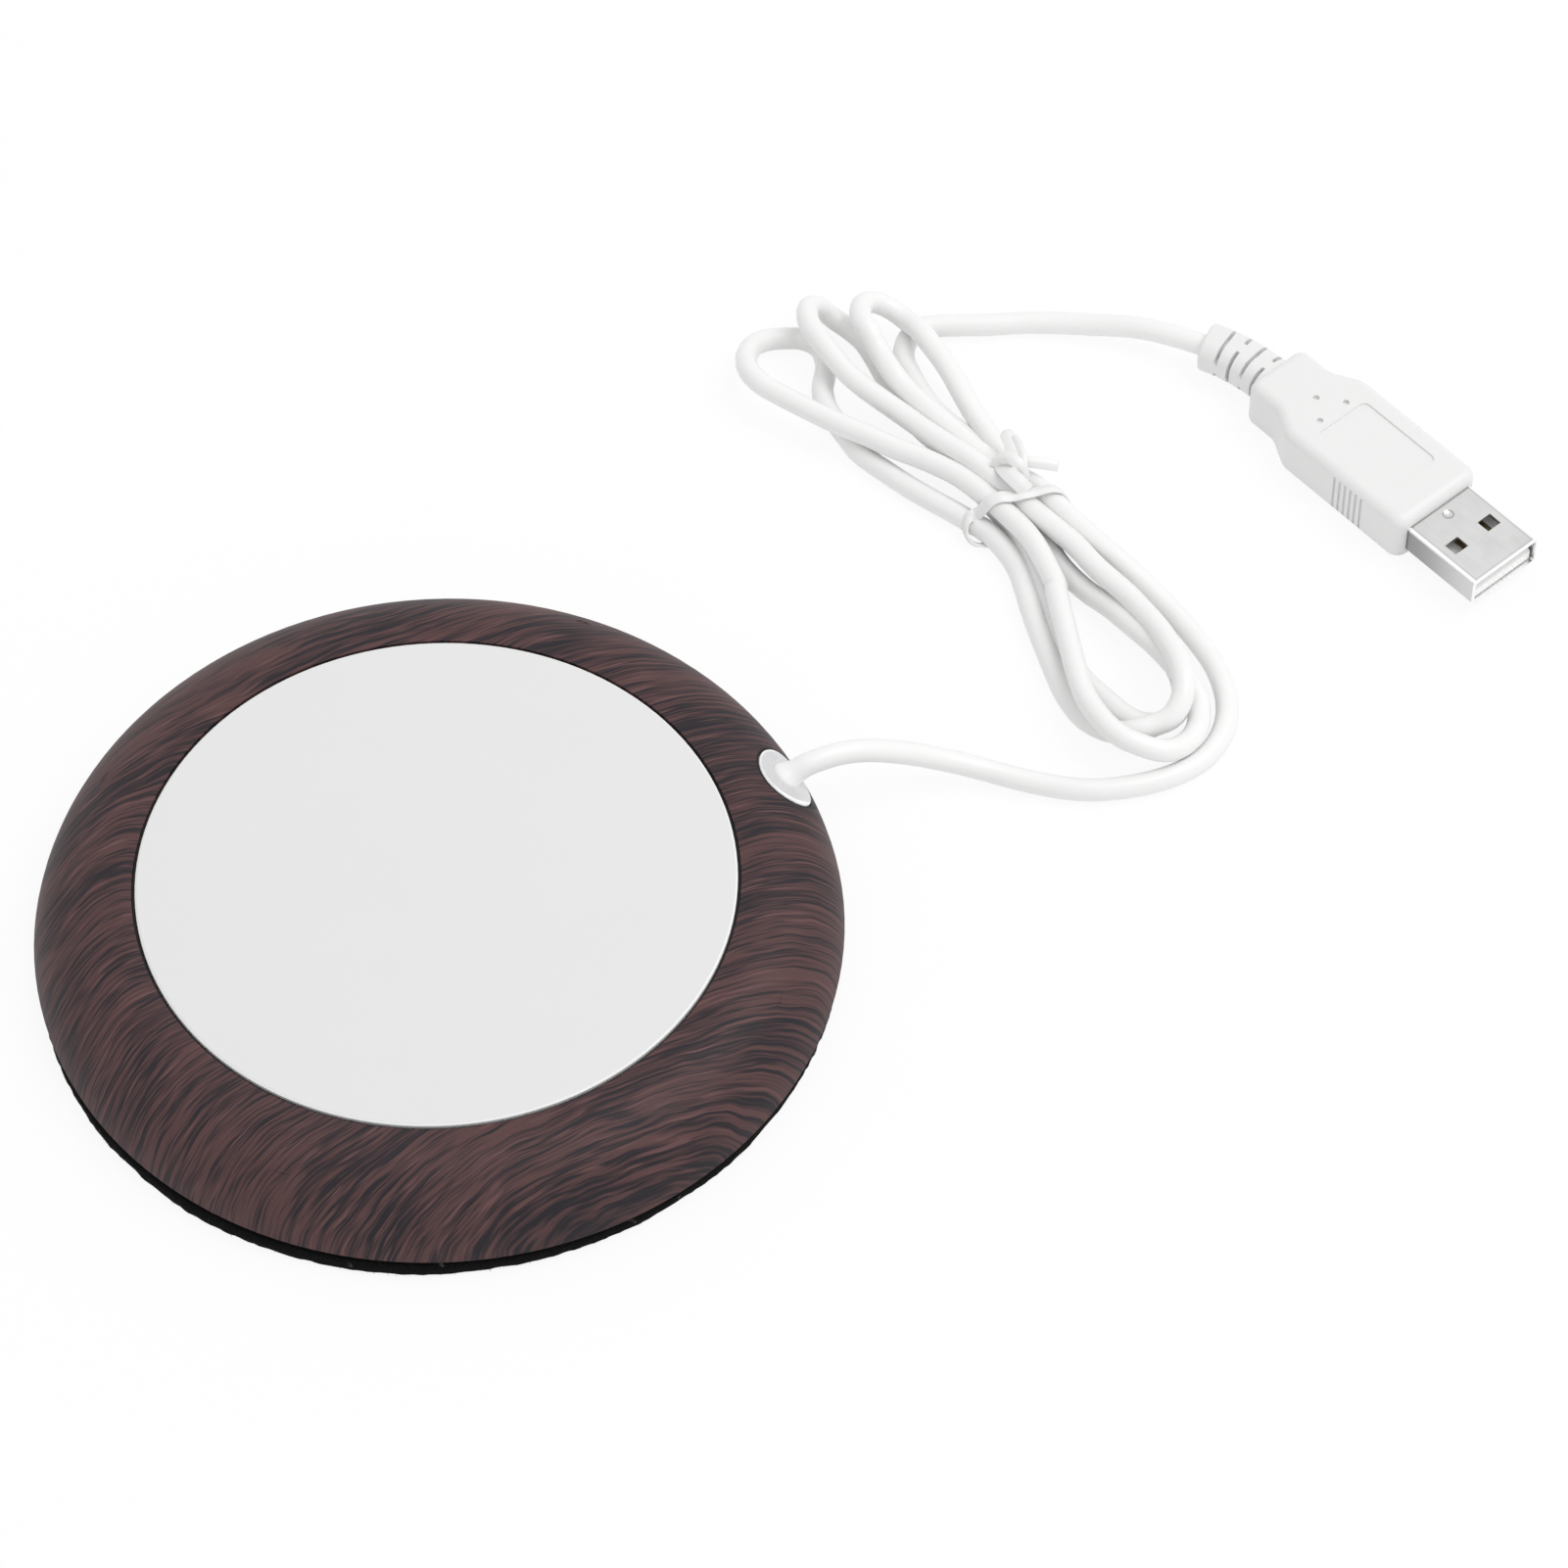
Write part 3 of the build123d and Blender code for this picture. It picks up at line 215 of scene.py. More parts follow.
# The ribbon's section: share of its half width, and of its half thickness.
RIBBON_SECTION = [
    (-1.0, 0.3), (-0.9, 0.5), (-0.3, 0.55), (0.0, 1.0), (0.3, 0.55), (0.9, 0.5), (1.0, 0.3),
    (1.0, -0.3), (0.9, -0.5), (0.3, -0.55), (0.0, -1.0), (-0.3, -0.55), (-0.9, -0.5), (-1.0, -0.3),
]


# ---- node trees
class Graph:
    """A node tree with short calls for adding and joining its nodes."""

    def __init__(self, tree):
        self.tree = tree

    def add(self, kind, inputs=(), **settings):
        """Adds a node. Its inputs, by name or by place, get plain values or other nodes' outputs."""
        node = self.tree.nodes.new(kind)
        for name, value in settings.items():
            setattr(node, name, value)
        for key, value in dict(inputs).items():
            self.set(node.inputs[key], value)
        return node

    def set(self, socket, value):
        """Joins an output to a socket, or writes a plain value on it. None leaves it as it is."""
        if isinstance(value, bpy.types.NodeSocket):
            self.tree.links.new(value, socket)
        elif value is not None:
            socket.default_value = (*value, 1.0) if socket.type == "RGBA" else value

    def math(self, operation, first, second=None, third=None, clamp=False):
        inputs = enumerate((first, second, third))
        return self.add("ShaderNodeMath", inputs, operation=operation, use_clamp=clamp).outputs[0]

    def times(self, first, second):
        return self.math("MULTIPLY", first, second)

    def larger(self, first, second):
        return self.math("MAXIMUM", first, second)

    def sway(self, pattern, amount, middle):
        """The middle value, moved up and down by a pattern that runs from 0 to 1."""
        return self.math("MULTIPLY_ADD", self.math("SUBTRACT", pattern, 0.5), amount, middle)

    def smooth(self, value, low, high):
        """0 at low, 1 at high, and smooth in between."""
        inputs = {"Value": value, "From Min": low, "From Max": high}
        return self.add("ShaderNodeMapRange", inputs, interpolation_type="SMOOTHSTEP").outputs["Result"]

    def blend(self, factor, first, second):
        """Mixes two colours."""
        inputs = {"Factor": factor, 6: first, 7: second}
        return self.add("ShaderNodeMix", inputs, data_type="RGBA").outputs[2]

    def clouds(self, place, scale, detail=2.0, roughness=0.5):
        """Soft noise from 0 to 1."""
        inputs = {"Vector": place, "Scale": scale, "Detail": detail, "Roughness": roughness}
        return self.add("ShaderNodeTexNoise", inputs).outputs["Fac"]

    def place(self):
        """Where a point of the piece is, in metres."""
        return self.add("ShaderNodeTexCoord").outputs["Object"]

    def vector(self, x, y, z):
        return self.add("ShaderNodeCombineXYZ", enumerate((x, y, z))).outputs[0]

    def split(self, vector):
        return self.add("ShaderNodeSeparateXYZ", {0: vector}).outputs

    def vector_math(self, operation, first, second):
        """Works on two vectors. The second of SCALE is a number, and so is what DISTANCE gives."""
        inputs = {0: first, "Scale" if operation == "SCALE" else 1: second}
        outputs = self.add("ShaderNodeVectorMath", inputs, operation=operation).outputs
        return outputs["Value" if operation == "DISTANCE" else "Vector"]

    def turned(self, vector, angle):
        """A place turned about the vertical."""
        inputs = {"Vector": vector, "Angle": angle}
        return self.add("ShaderNodeVectorRotate", inputs, rotation_type="Z_AXIS").outputs[0]


def node_group(name, inputs, outputs):
    """Turns a function that draws a group's nodes into one that gives the group, made once.

    A tuple among the inputs is a colour and a number is a plain value. Color is the one output
    that holds a colour.
    """
    colour, number = "NodeSocketColor", "NodeSocketFloat"

    def wrap(draw):
        def group():
            if name not in bpy.data.node_groups:
                tree = bpy.data.node_groups.new(name, "ShaderNodeTree")
                for label, default in inputs.items():
                    kind = colour if isinstance(default, tuple) else number
                    socket = tree.interface.new_socket(label, in_out="INPUT", socket_type=kind)
                    socket.default_value = (*default, 1.0) if kind == colour else default
                for label in outputs:
                    kind = colour if label == "Color" else number
                    tree.interface.new_socket(label, in_out="OUTPUT", socket_type=kind)
                graph = Graph(tree)
                given = graph.add("NodeGroupInput").outputs
                draw(graph, given, graph.add("NodeGroupOutput").inputs)
            return bpy.data.node_groups[name]
        return group
    return wrap


# The timber print, in ring radii and along its own streaks: a knot that pulls the streaks in, and
# how they wander, as scales and reaches.
KNOT_AT = (-0.144, 0.116, 0.0)
KNOT_FALL = 18.3
KNOT_PULL = 9.8
WANDERS = ((2.6, 0.07), (11.0, 0.014))
SLOPE_STRETCH = 0.5  # how much the streaks move on with height
# Its layers: length and width scale beside the fine streaks', detail, and a number of its own that
# keeps a layer from repeating another.
STREAK_LAYERS = ((1.0, 1.0, 2.0, 4.1), (1.7, 2.1, 1.0, 9.3), (1.3, 0.9, 1.0, 15.1))
STREAK_ROUGHNESS = 0.55
BAND_LENGTH = 1.5
BAND_LAYER = (2.0, 1.7)
BAND_SHARE = 0.68
HAIR_SHARE = 0.85
DARK_TO_WARM = (0.27, 0.68)
TICKS = (0.58, 0.74)
GAPS = (0.42, 0.26)
TICK_SHARE = 0.6
GAP_DEPTH = 0.4


@node_group(
    "Streaked Print",
    {
        "Warm": (0.1, 0.05, 0.04), "Dark": (0.03, 0.03, 0.035), "Light": (0.2, 0.1, 0.08),
        "Turn": 0.0, "Bow": 0.1, "Ring Radius": 0.05,
        "Band Scale": 8.0, "Streak Scale": 60.0, "Streak Length": 8.0,
    },
    ("Color", "Height"),
)
def streaked_print(graph, given, result):
    """Dark timber print: long streaks that follow one flowing direction round the ring."""
    turned = graph.turned(graph.place(), graph.times(given["Turn"], -1.0))
    spot = graph.vector_math("SCALE", turned, graph.math("DIVIDE", 1.0, given["Ring Radius"]))
    x, y, z = graph.split(spot)
    # The streaks are level lines of the flow: they bow, draw together by a knot, and wander.
    flow = graph.math("MULTIPLY_ADD", graph.times(x, x), given["Bow"], y)
    from_knot = graph.vector_math("DISTANCE", graph.vector(x, y, 0.0), KNOT_AT)
    near = graph.times(graph.math("POWER", from_knot, 2.0), -KNOT_FALL)
    flow = graph.math("MULTIPLY_ADD", graph.math("EXPONENT", near), KNOT_PULL, flow)
    for scale, reach in WANDERS:
        flow = graph.sway(graph.clouds(spot, scale, 1.0), reach, flow)
    along = graph.math("MULTIPLY_ADD", z, SLOPE_STRETCH, x)

    def streaks(length, width, detail, layer):
        where = graph.vector(graph.times(along, length), graph.times(flow, width), layer)
        return graph.clouds(where, 1.0, detail, STREAK_ROUGHNESS)

    bands = streaks(BAND_LENGTH, given["Band Scale"], *BAND_LAYER)
    fine, hair, ticks = (
        streaks(graph.times(given["Streak Length"], long), graph.times(given["Streak Scale"], wide), *rest)
        for long, wide, *rest in STREAK_LAYERS
    )
    mixed = graph.sway(hair, HAIR_SHARE, graph.sway(bands, BAND_SHARE, fine))
    colour = graph.blend(graph.smooth(mixed, *DARK_TO_WARM), given["Dark"], given["Warm"])
    colour = graph.blend(graph.times(graph.smooth(ticks, *TICKS), TICK_SHARE), colour, given["Light"])
    gaps = graph.smooth(ticks, *GAPS)
    graph.set(result["Color"], graph.blend(graph.times(gaps, TICK_SHARE), colour, given["Dark"]))
    graph.set(result["Height"], graph.math("SUBTRACT", fine, graph.times(gaps, GAP_DEPTH)))


MOTTLE_SCALE = 90.0


@node_group(
    "Moulded Surface",
    {
        "Color": (0.8, 0.8, 0.8), "Mottle": 0.03, "Grain Scale": 2500.0,
        "Roughness": 0.4, "Gloss Spread": 0.08,
    },
    ("Color", "Roughness", "Height"),
)
def moulded_surface(graph, given, result):
    """Moulded plastic: faint mottling of colour, fine texture and uneven gloss."""
    spot = graph.place()
    broad = graph.clouds(spot, MOTTLE_SCALE, 3.0)
    shade = graph.sway(broad, graph.times(given["Mottle"], 2.0), 1.0)
    graph.set(result["Color"], graph.vector_math("SCALE", given["Color"], shade))
    graph.set(result["Roughness"], graph.sway(broad, given["Gloss Spread"], given["Roughness"]))
    graph.set(result["Height"], graph.clouds(spot, given["Grain Scale"]))


TANGLE_SCALE = 600.0
TANGLE_REACH = 0.002
STRAND_HALF = 0.2       # from a strand's ridge to the hollow beside it, in strands
LINT_SCALE = 420.0
LINT_RANGE = (0.66, 0.74)
HOLLOW_TONE = 0.65
RIDGE_TONE = 0.7


@node_group(
    "Fibre Mat",
    {"Color": (0.02, 0.02, 0.02), "Lint": (0.2, 0.2, 0.2), "Lint Share": 0.3, "Fibre Scale": 900.0},
    ("Color", "Height"),
)
def fibre_mat(graph, given, result):
    """Pressed fibre: tangled fine strands, with a few paler bits of lint."""
    spot = graph.place()
    tangle = graph.add("ShaderNodeTexNoise", {"Vector": spot, "Scale": TANGLE_SCALE}).outputs["Color"]
    moved = graph.vector_math("ADD", spot, graph.vector_math("SCALE", tangle, TANGLE_REACH))
    inputs = {"Vector": moved, "Scale": given["Fibre Scale"]}
    strands = graph.add("ShaderNodeTexVoronoi", inputs, feature="DISTANCE_TO_EDGE")
    ridge = graph.smooth(strands.outputs["Distance"], STRAND_HALF, 0.0)
    lint = graph.times(graph.smooth(graph.clouds(spot, LINT_SCALE), *LINT_RANGE), ridge)
    tone = graph.math("MULTIPLY_ADD", ridge, RIDGE_TONE, HOLLOW_TONE)
    toned = graph.vector_math("SCALE", given["Color"], tone)
    graph.set(result["Color"], graph.blend(graph.times(lint, given["Lint Share"]), toned, given["Lint"]))
    graph.set(result["Height"], ridge)


LINE_STRETCH = (0.04, 1.0, 1.0)
MARK_SCALE = 260.0
MARK_TONE, LINE_TONE = 0.16, 0.08
MARK_GLOSS, LINE_GLOSS = 0.14, 0.06


@node_group(
    "Rolled Metal",
    {"Color": (0.6, 0.6, 0.6), "Turn": 0.0, "Line Scale": 3000.0, "Roughness": 0.3},
    ("Color", "Roughness", "Height"),
)
def rolled_metal(graph, given, result):
    """Rolled and plated sheet: fine lines along the sheet, and faint handling marks."""
    turned = graph.turned(graph.place(), given["Turn"])
    lines = graph.clouds(graph.vector_math("MULTIPLY", turned, LINE_STRETCH), given["Line Scale"])
    marks = graph.clouds(turned, MARK_SCALE, 3.0)
    tone = graph.sway(lines, LINE_TONE, graph.sway(marks, MARK_TONE, 1.0))
    graph.set(result["Color"], graph.vector_math("SCALE", given["Color"], tone))
    rough = graph.sway(marks, MARK_GLOSS, given["Roughness"])
    graph.set(result["Roughness"], graph.math("MULTIPLY_ADD", lines, LINE_GLOSS, rough))
    graph.set(result["Height"], lines)


# ---- materials
FINE_RELIEF = 0.00001
EVEN_RADIUS = (1.0, 1.0, 1.0)  # light goes equally far in each colour, so white stays neutral
PRINT_GLOSS = 0.1   # how much duller the raised streaks are
# The plate's turned edge carries a painted highlight, which comes in over this share of the edge.
EDGE_HIGHLIGHT_FADE = 0.7     # share of the plate's turned edge over which its brightness comes
NICKEL = (0.67, 0.67, 0.667)
# Painted shade on the shell's sides, from the darkest tone by the overmould to the lightest by the mouth;
# the darkest tone also shades the creases and the dimple's rim.
DEEP_SHADE_NICKEL = (0.3, 0.3, 0.305)
LIGHT_SHADE_NICKEL = (0.66, 0.66, 0.66)
# Painted shadow where the shell meets the overmould.
ROOT_SHADOW_NICKEL = (0.12, 0.12, 0.12)
# Painted highlight on the folded edges and the mouth's lip.
HIGHLIGHT_NICKEL = (0.98, 0.98, 0.98)
# Strength of the painted shade in the creases, of all the painted shade on the top, and of the painted
# shadow at the root.
CREASE_SHADE_SHARE = 0.35
TOP_SHADE_SHARE = 0.8
ROOT_SHADOW_SHARE = 0.6
# Bands on the plug's shell, each as where its mark starts and where it is full: in from the top,
# from the sides and from the mouth. The marks are painted highlights and painted shade.
TOP_FACE = (0.0005, 0.0003)
SIDE_FACE = (0.00012, 0.00004)
SIDE_FOLD_HIGHLIGHT = (0.0001, 0.0005)
SIDE_CREASE_SHADE = (0.0006, 0.0008)
MOUTH_LIP_HIGHLIGHT = (0.00034, 0.00024)
MOUTH_CREASE_SHADE = (0.00042, 0.0006)
SHELL_ROOT_SHADOW = (0.0004, 0.0001)
DIMPLE_RIM_SHADE = (0.00062, 0.00082)
BAND_SOFT = 0.00006
# Zones of the grommet, with 1 at its rim: the painted shade of the open line outside it, the painted
# highlight on the rim, and the painted light at the cord's root.
SEAT_SHADE_LINE = (1.07, 1.045)
GROMMET_RIM_HIGHLIGHT = (0.86, 0.92)
GROMMET_ROOT_LIGHT = (0.62, 0.36)


def new_material(name, **shader_values):
    """A material with a Principled BSDF whose plain values stand on its own sockets."""
    material = bpy.data.materials.new(name)
    material.use_nodes = True
    graph = Graph(material.node_tree)
    shader = graph.tree.nodes["Principled BSDF"]
    for label, value in shader_values.items():
        graph.set(shader.inputs[label.replace("_", " ")], value)
    return material, graph, shader


def use_group(graph, group, **values):
    """Places a group with its own values and gives its outputs."""
    inputs = {label.replace("_", " "): value for label, value in values.items()}
    return graph.add("ShaderNodeGroup", inputs, node_tree=group).outputs


def cover(graph, shader, surface, strength, depth=FINE_RELIEF, colour=None):
    """Gives a shader a surface's colour, gloss and relief, or another colour in its place."""
    graph.set(shader.inputs["Base Color"], surface["Color"] if colour is None else colour)
    graph.set(shader.inputs["Roughness"], surface.get("Roughness"))
    inputs = {"Strength": strength, "Distance": depth, "Height": surface["Height"]}
    graph.set(shader.inputs["Normal"], graph.add("ShaderNodeBump", inputs).outputs[0])


def oval_reach(graph, settings):
    """Distance from the grommet's middle as seen from above: 1 at its rim."""
    x, y, _ = graph.split(graph.place())
    sideways = graph.math("DIVIDE", x, settings.half_width)
    upward = graph.math("DIVIDE", graph.math("SUBTRACT", y, GROMMET_MOUTH[1]), settings.half_reach)
    return graph.math("SQRT", graph.math("MULTIPLY_ADD", sideways, sideways, graph.times(upward, upward)))


def crown_print(settings, grommet):
    """Dark timber print on the ring, with painted shade in the open line round the grommet's seat."""
    material, graph, shader = new_material("crown_print", Specular_IOR_Level=0.25)
    printed = use_group(
        graph, streaked_print(), Warm=settings.warm, Dark=settings.dark, Light=settings.light,
        Turn=settings.turn, Bow=settings.bow, Ring_Radius=RING_R, Band_Scale=settings.band_scale,
        Streak_Scale=settings.streak_scale, Streak_Length=settings.streak_length,
    )
    # Painted shade in the open line round the grommet's seat.
    seat = graph.smooth(oval_reach(graph, grommet), *SEAT_SHADE_LINE)
    colour = graph.blend(seat, printed["Color"], settings.seat_shade_colour)
    cover(graph, shader, printed, 0.25, 0.00005, colour)
    rough = graph.math("MULTIPLY_ADD", printed["Height"], PRINT_GLOSS, settings.roughness)
    graph.set(shader.inputs["Roughness"], rough)
    return material


def moulded(name, colour, roughness, mottle=0.02, grain=2500.0, depth=FINE_RELIEF, **shader_values):
    """A moulded plastic, rubber or PVC."""
    material, graph, shader = new_material(name, **shader_values)
    surface = use_group(
        graph, moulded_surface(), Color=colour, Mottle=mottle, Grain_Scale=grain, Roughness=roughness
    )
    cover(graph, shader, surface, 0.3, depth)
    return material


def metal(name, colour, roughness):
    """A plain plated or rolled metal."""
    material, graph, shader = new_material(name, Metallic=1.0)
    cover(graph, shader, use_group(graph, rolled_metal(), Color=colour, Roughness=roughness), 0.2)
    return material


def shell_nickel():
    """Nickel on drawn steel with satin faces, and painted light on it: painted shade on the sides, in the
    creases, round the dimple and at the root, and painted highlights where the sheet is folded.
    """
    material, graph, shader = new_material("shell_nickel", Metallic=1.0)
    sheet = use_group(graph, rolled_metal(), Color=NICKEL, Turn=-PLUG_TURN, Roughness=0.26)
    from_plug = graph.vector_math("SUBTRACT", graph.place(), PLUG_AT)
    along, across, up = graph.split(graph.turned(from_plug, -PLUG_TURN))
    from_mouth = graph.math("SUBTRACT", SHELL_LENGTH, along)
    from_side = graph.math("SUBTRACT", SHELL_HALF_WIDTH, graph.math("ABSOLUTE", across))
    from_top = graph.math("SUBTRACT", SHELL_TOP, up)

    def band(value, near, far):
        """1 between near and far, with soft edges."""
        return graph.times(
            graph.smooth(value, near - BAND_SOFT, near + BAND_SOFT),
            graph.smooth(value, far + BAND_SOFT, far - BAND_SOFT),
        )

    on_top = graph.smooth(from_top, *TOP_FACE)
    on_side = graph.times(graph.smooth(from_side, *SIDE_FACE), graph.smooth(from_top, *reversed(TOP_FACE)))
    # Painted shade on the sides, darkest by the overmould and lightest by the mouth.
    side_shade = graph.blend(graph.smooth(along, 0.0, SHELL_LENGTH), DEEP_SHADE_NICKEL, LIGHT_SHADE_NICKEL)
    # Painted highlight on the mouth's lip and along the folded edges of the top.
    lip = graph.smooth(from_mouth, *MOUTH_LIP_HIGHLIGHT)
    highlight = graph.larger(lip, graph.times(band(from_side, *SIDE_FOLD_HIGHLIGHT), on_top))
    # Painted shade on the top: in the creases inside the lip and the folds, and round the dimple's rim.
    crease = graph.larger(band(from_mouth, *MOUTH_CREASE_SHADE), band(from_side, *SIDE_CREASE_SHADE))
    dimple = band(graph.vector_math("DISTANCE", graph.vector(along, across, 0.0), DIMPLE_AT), *DIMPLE_RIM_SHADE)
    top_shade = graph.times(graph.larger(graph.times(crease, CREASE_SHADE_SHARE), dimple), on_top)
    # Painted shadow where the shell meets the overmould.
    root = graph.smooth(along, *SHELL_ROOT_SHADOW)
    colour = graph.blend(on_side, sheet["Color"], side_shade)
    colour = graph.blend(graph.times(top_shade, TOP_SHADE_SHARE), colour, DEEP_SHADE_NICKEL)
    colour = graph.blend(graph.times(root, ROOT_SHADOW_SHARE), colour, ROOT_SHADOW_NICKEL)
    cover(graph, shader, sheet, 0.2, colour=graph.blend(highlight, colour, HIGHLIGHT_NICKEL))
    return material


def fibre(name, colour, lint, lint_share, scale):
    """Felt or ceramic fibre."""
    material, graph, shader = new_material(name, Roughness=0.95, Specular_IOR_Level=0.1)
    mat = use_group(graph, fibre_mat(), Color=colour, Lint=lint, Lint_Share=lint_share, Fibre_Scale=scale)
    cover(graph, shader, mat, 0.8, 0.00015)
    return material


def plate_coat(settings):
    """Fine matt coat, with a painted highlight on its turned edge."""
    material, graph, shader = new_material("plate_coat", Specular_IOR_Level=0.3)
    surface = use_group(
        graph, moulded_surface(), Color=settings.colour, Mottle=0.008,
        Grain_Scale=1800.0, Roughness=settings.roughness, Gloss_Spread=0.05,
    )
    x, y, _ = graph.split(graph.place())
    reach = graph.vector_math("DISTANCE", graph.vector(x, y, 0.0), (0.0, 0.0, 0.0))
    # Painted highlight along the turned edge.
    edge = graph.smooth(reach, PLATE_R - settings.edge_width, PLATE_R - settings.edge_width * EDGE_HIGHLIGHT_FADE)
    cover(graph, shader, surface, 0.15, colour=graph.blend(edge, surface["Color"], settings.edge_highlight_colour))
    return material


def grommet_resin(settings):
    """Cloudy clear resin, with painted light: paler at the cord's root, lifting the shade where the cord
    meets it, and a painted highlight on its moulded rim.
    """
    material, graph, shader = new_material(
        "grommet_resin", Coat_Weight=0.25, Coat_Roughness=0.15, Subsurface_Weight=0.3,
        Subsurface_Scale=0.002, Subsurface_Radius=EVEN_RADIUS,
    )
    surface = use_group(
        graph, moulded_surface(), Color=settings.colour, Mottle=0.03,
        Grain_Scale=900.0, Roughness=0.22, Gloss_Spread=0.1,
    )
    out = oval_reach(graph, settings)
    # Painted light at the cord's root, against the shade where the cord meets the resin.
    colour = graph.blend(graph.smooth(out, *GROMMET_ROOT_LIGHT), surface["Color"], settings.root_light_colour)
    # Painted highlight on the moulded rim.
    colour = graph.blend(graph.smooth(out, *GROMMET_RIM_HIGHLIGHT), colour, settings.rim_highlight_colour)
    cover(graph, shader, surface, 0.1, colour=colour)
    return material


def paint(node, material):
    """Gives a CAD node its finish."""
    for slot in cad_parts[node].material_slots:
        slot.material = material


# ---- meshes
def add_piece(name, build, material):
    """Runs a bmesh builder and puts its smooth piece on the body."""
    body = bmesh.new()
    build(body)
    bmesh.ops.recalc_face_normals(body, faces=body.faces)
    mesh = bpy.data.meshes.new(name)
    body.to_mesh(mesh)
    body.free()
    mesh.materials.append(material)
    mesh.polygons.foreach_set("use_smooth", [True] * len(mesh.polygons))
    piece = bpy.data.objects.new(name, mesh)
    bpy.context.scene.collection.objects.link(piece)
    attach(piece, BODY)
    return piece


def join_rings(body, rings):
    """Walls between each ring of corners and the next."""
    for first, second in zip(rings, rings[1:]):
        for corner in range(len(first)):
            after = (corner + 1) % len(first)
            body.faces.new((first[corner], first[after], second[after], second[corner]))


# ---- cord
def waist_point(strand, side):
    across, height = STRANDS[strand]
    spot = WAIST + WAIST_ACROSS * across + WAIST_ALONG * (side * WAIST_HALF_RUN)
    return (spot.x, spot.y, height)


def cord_points():
    """The whole cord's control points, from the grommet to the plug's strain relief."""
    points = [*LEAD_ROUTE, waist_point("lead", 1)]
    for strand_in, strand_out, side, bight in BIGHTS:
        points += [waist_point(strand_in, side), *bight, waist_point(strand_out, side)]
    points += [waist_point("plug", -1), *PLUG_ROUTE]
    return [Vector((*place, LOW)[:3]) * MM for place in points]


def cord_curve(name, points, diameter):
    """One smooth round line through the route, a little thicker at its root."""
    curve = bpy.data.curves.new(name, "CURVE")
    curve.dimensions = "3D"
    curve.bevel_depth = diameter / 2
    curve.bevel_resolution = 6
    curve.resolution_u = 8
    curve.use_fill_caps = True
    spline = curve.splines.new("NURBS")
    spline.points.add(len(points) - 1)
    for control, place in zip(spline.points, points):
        control.co = (*place, 1.0)
    for control, swell in zip(spline.points, ROOT_SWELL):
        control.radius = swell
    spline.order_u = 3
    spline.use_endpoint_u = True
    return curve


# ---- tie
def from_waist(spot):
    """A place given from the waist's middle, in metres from the object's."""
    flat = WAIST + WAIST_ALONG * spot.x + WAIST_ACROSS * spot.y
    return Vector((flat.x, flat.y, max(spot.z, TIE_LOWEST))) * MM


def smooth_run(spots, closed=False, steps=8):
    """Points on a smooth line through the spots."""
    spots = [Vector(spot) for spot in spots]
    around = [spots[-1], *spots, *spots[:2]] if closed else [spots[0], *spots, spots[-1]]
    run = []
    for before, start, end, after in zip(around, around[1:], around[2:], around[3:]):
        for step in range(steps):
            share = step / steps
            run.append(0.5 * (
                2 * start + (end - before) * share
                + (2 * before - 5 * start + 4 * end - after) * share ** 2
                + (3 * start - before - 3 * end + after) * share ** 3
            ))
    return run if closed else [*run, spots[-1]]


def add_ribbon(body, run, facing, half_width, half_thickness, closed=False, round_tip=False):
    """A strip along the run. facing gives the way its face looks at each point."""
    around = [run[-1], *run, run[0]] if closed else [run[0], *run, run[-1]]
    rings = []
    for before, spot, after, outward in zip(around, run, around[2:], facing):
        along = (after - before).normalized()
        side = along.cross(outward).normalized()
        up = side.cross(along)
        wide = half_width
        if round_tip:
            left = min((run[-1] - spot).length / half_width, 1.0)
            wide *= math.sqrt(max(1.0 - (1.0 - left) ** 2, TIP_LEAST))
        rings.append([
            body.verts.new(from_waist(spot + side * (x * wide) + up * (y * half_thickness)))
            for x, y in RIBBON_SECTION
        ])
    join_rings(body, [*rings, rings[0]] if closed else rings)
    if not closed:
        body.faces.new(rings[0])
        body.faces.new(rings[-1])


def tie_ribbons(body, half_width, half_thickness):
    """The tie: a band round the waist, the twist of its ends, a looped tail and a flat end."""
    band = smooth_run(TIE_BAND, closed=True)
    away = [Vector((0.0, spot.y * BAND_LEAN, spot.z - BAND_MIDDLE)).normalized() for spot in band]
    add_ribbon(body, band, away, half_width, half_thickness, closed=True)
    for route, share, round_tip in TIE_RUNS:
        run = smooth_run(route)
        facing = [TIE_FACING] * len(run)
        add_ribbon(body, run, facing, half_width * share, half_thickness, round_tip=round_tip)


# ---- felt foot
def felt_edge(angle, height, settings):
    """Reach of the cut edge at one place: it wanders, and stands out on one side."""
    spot = Vector((math.cos(angle) * PAD_R, math.sin(angle) * PAD_R, height))
    waves = sum(strength * noise.noise(spot * scale) for strength, scale in EDGE_WAVES)
    wander = waves - EDGE_DRAW_IN
    slip = max(0.0, math.cos(angle - settings.slip_heading)) ** SLIP_POWER
    reach = PAD_R + settings.unevenness * wander + settings.slip * slip
    widest = max(abs(math.cos(angle)), abs(math.sin(angle)))
    return min(reach, (RING_R - FOOT_MARGIN) / widest)


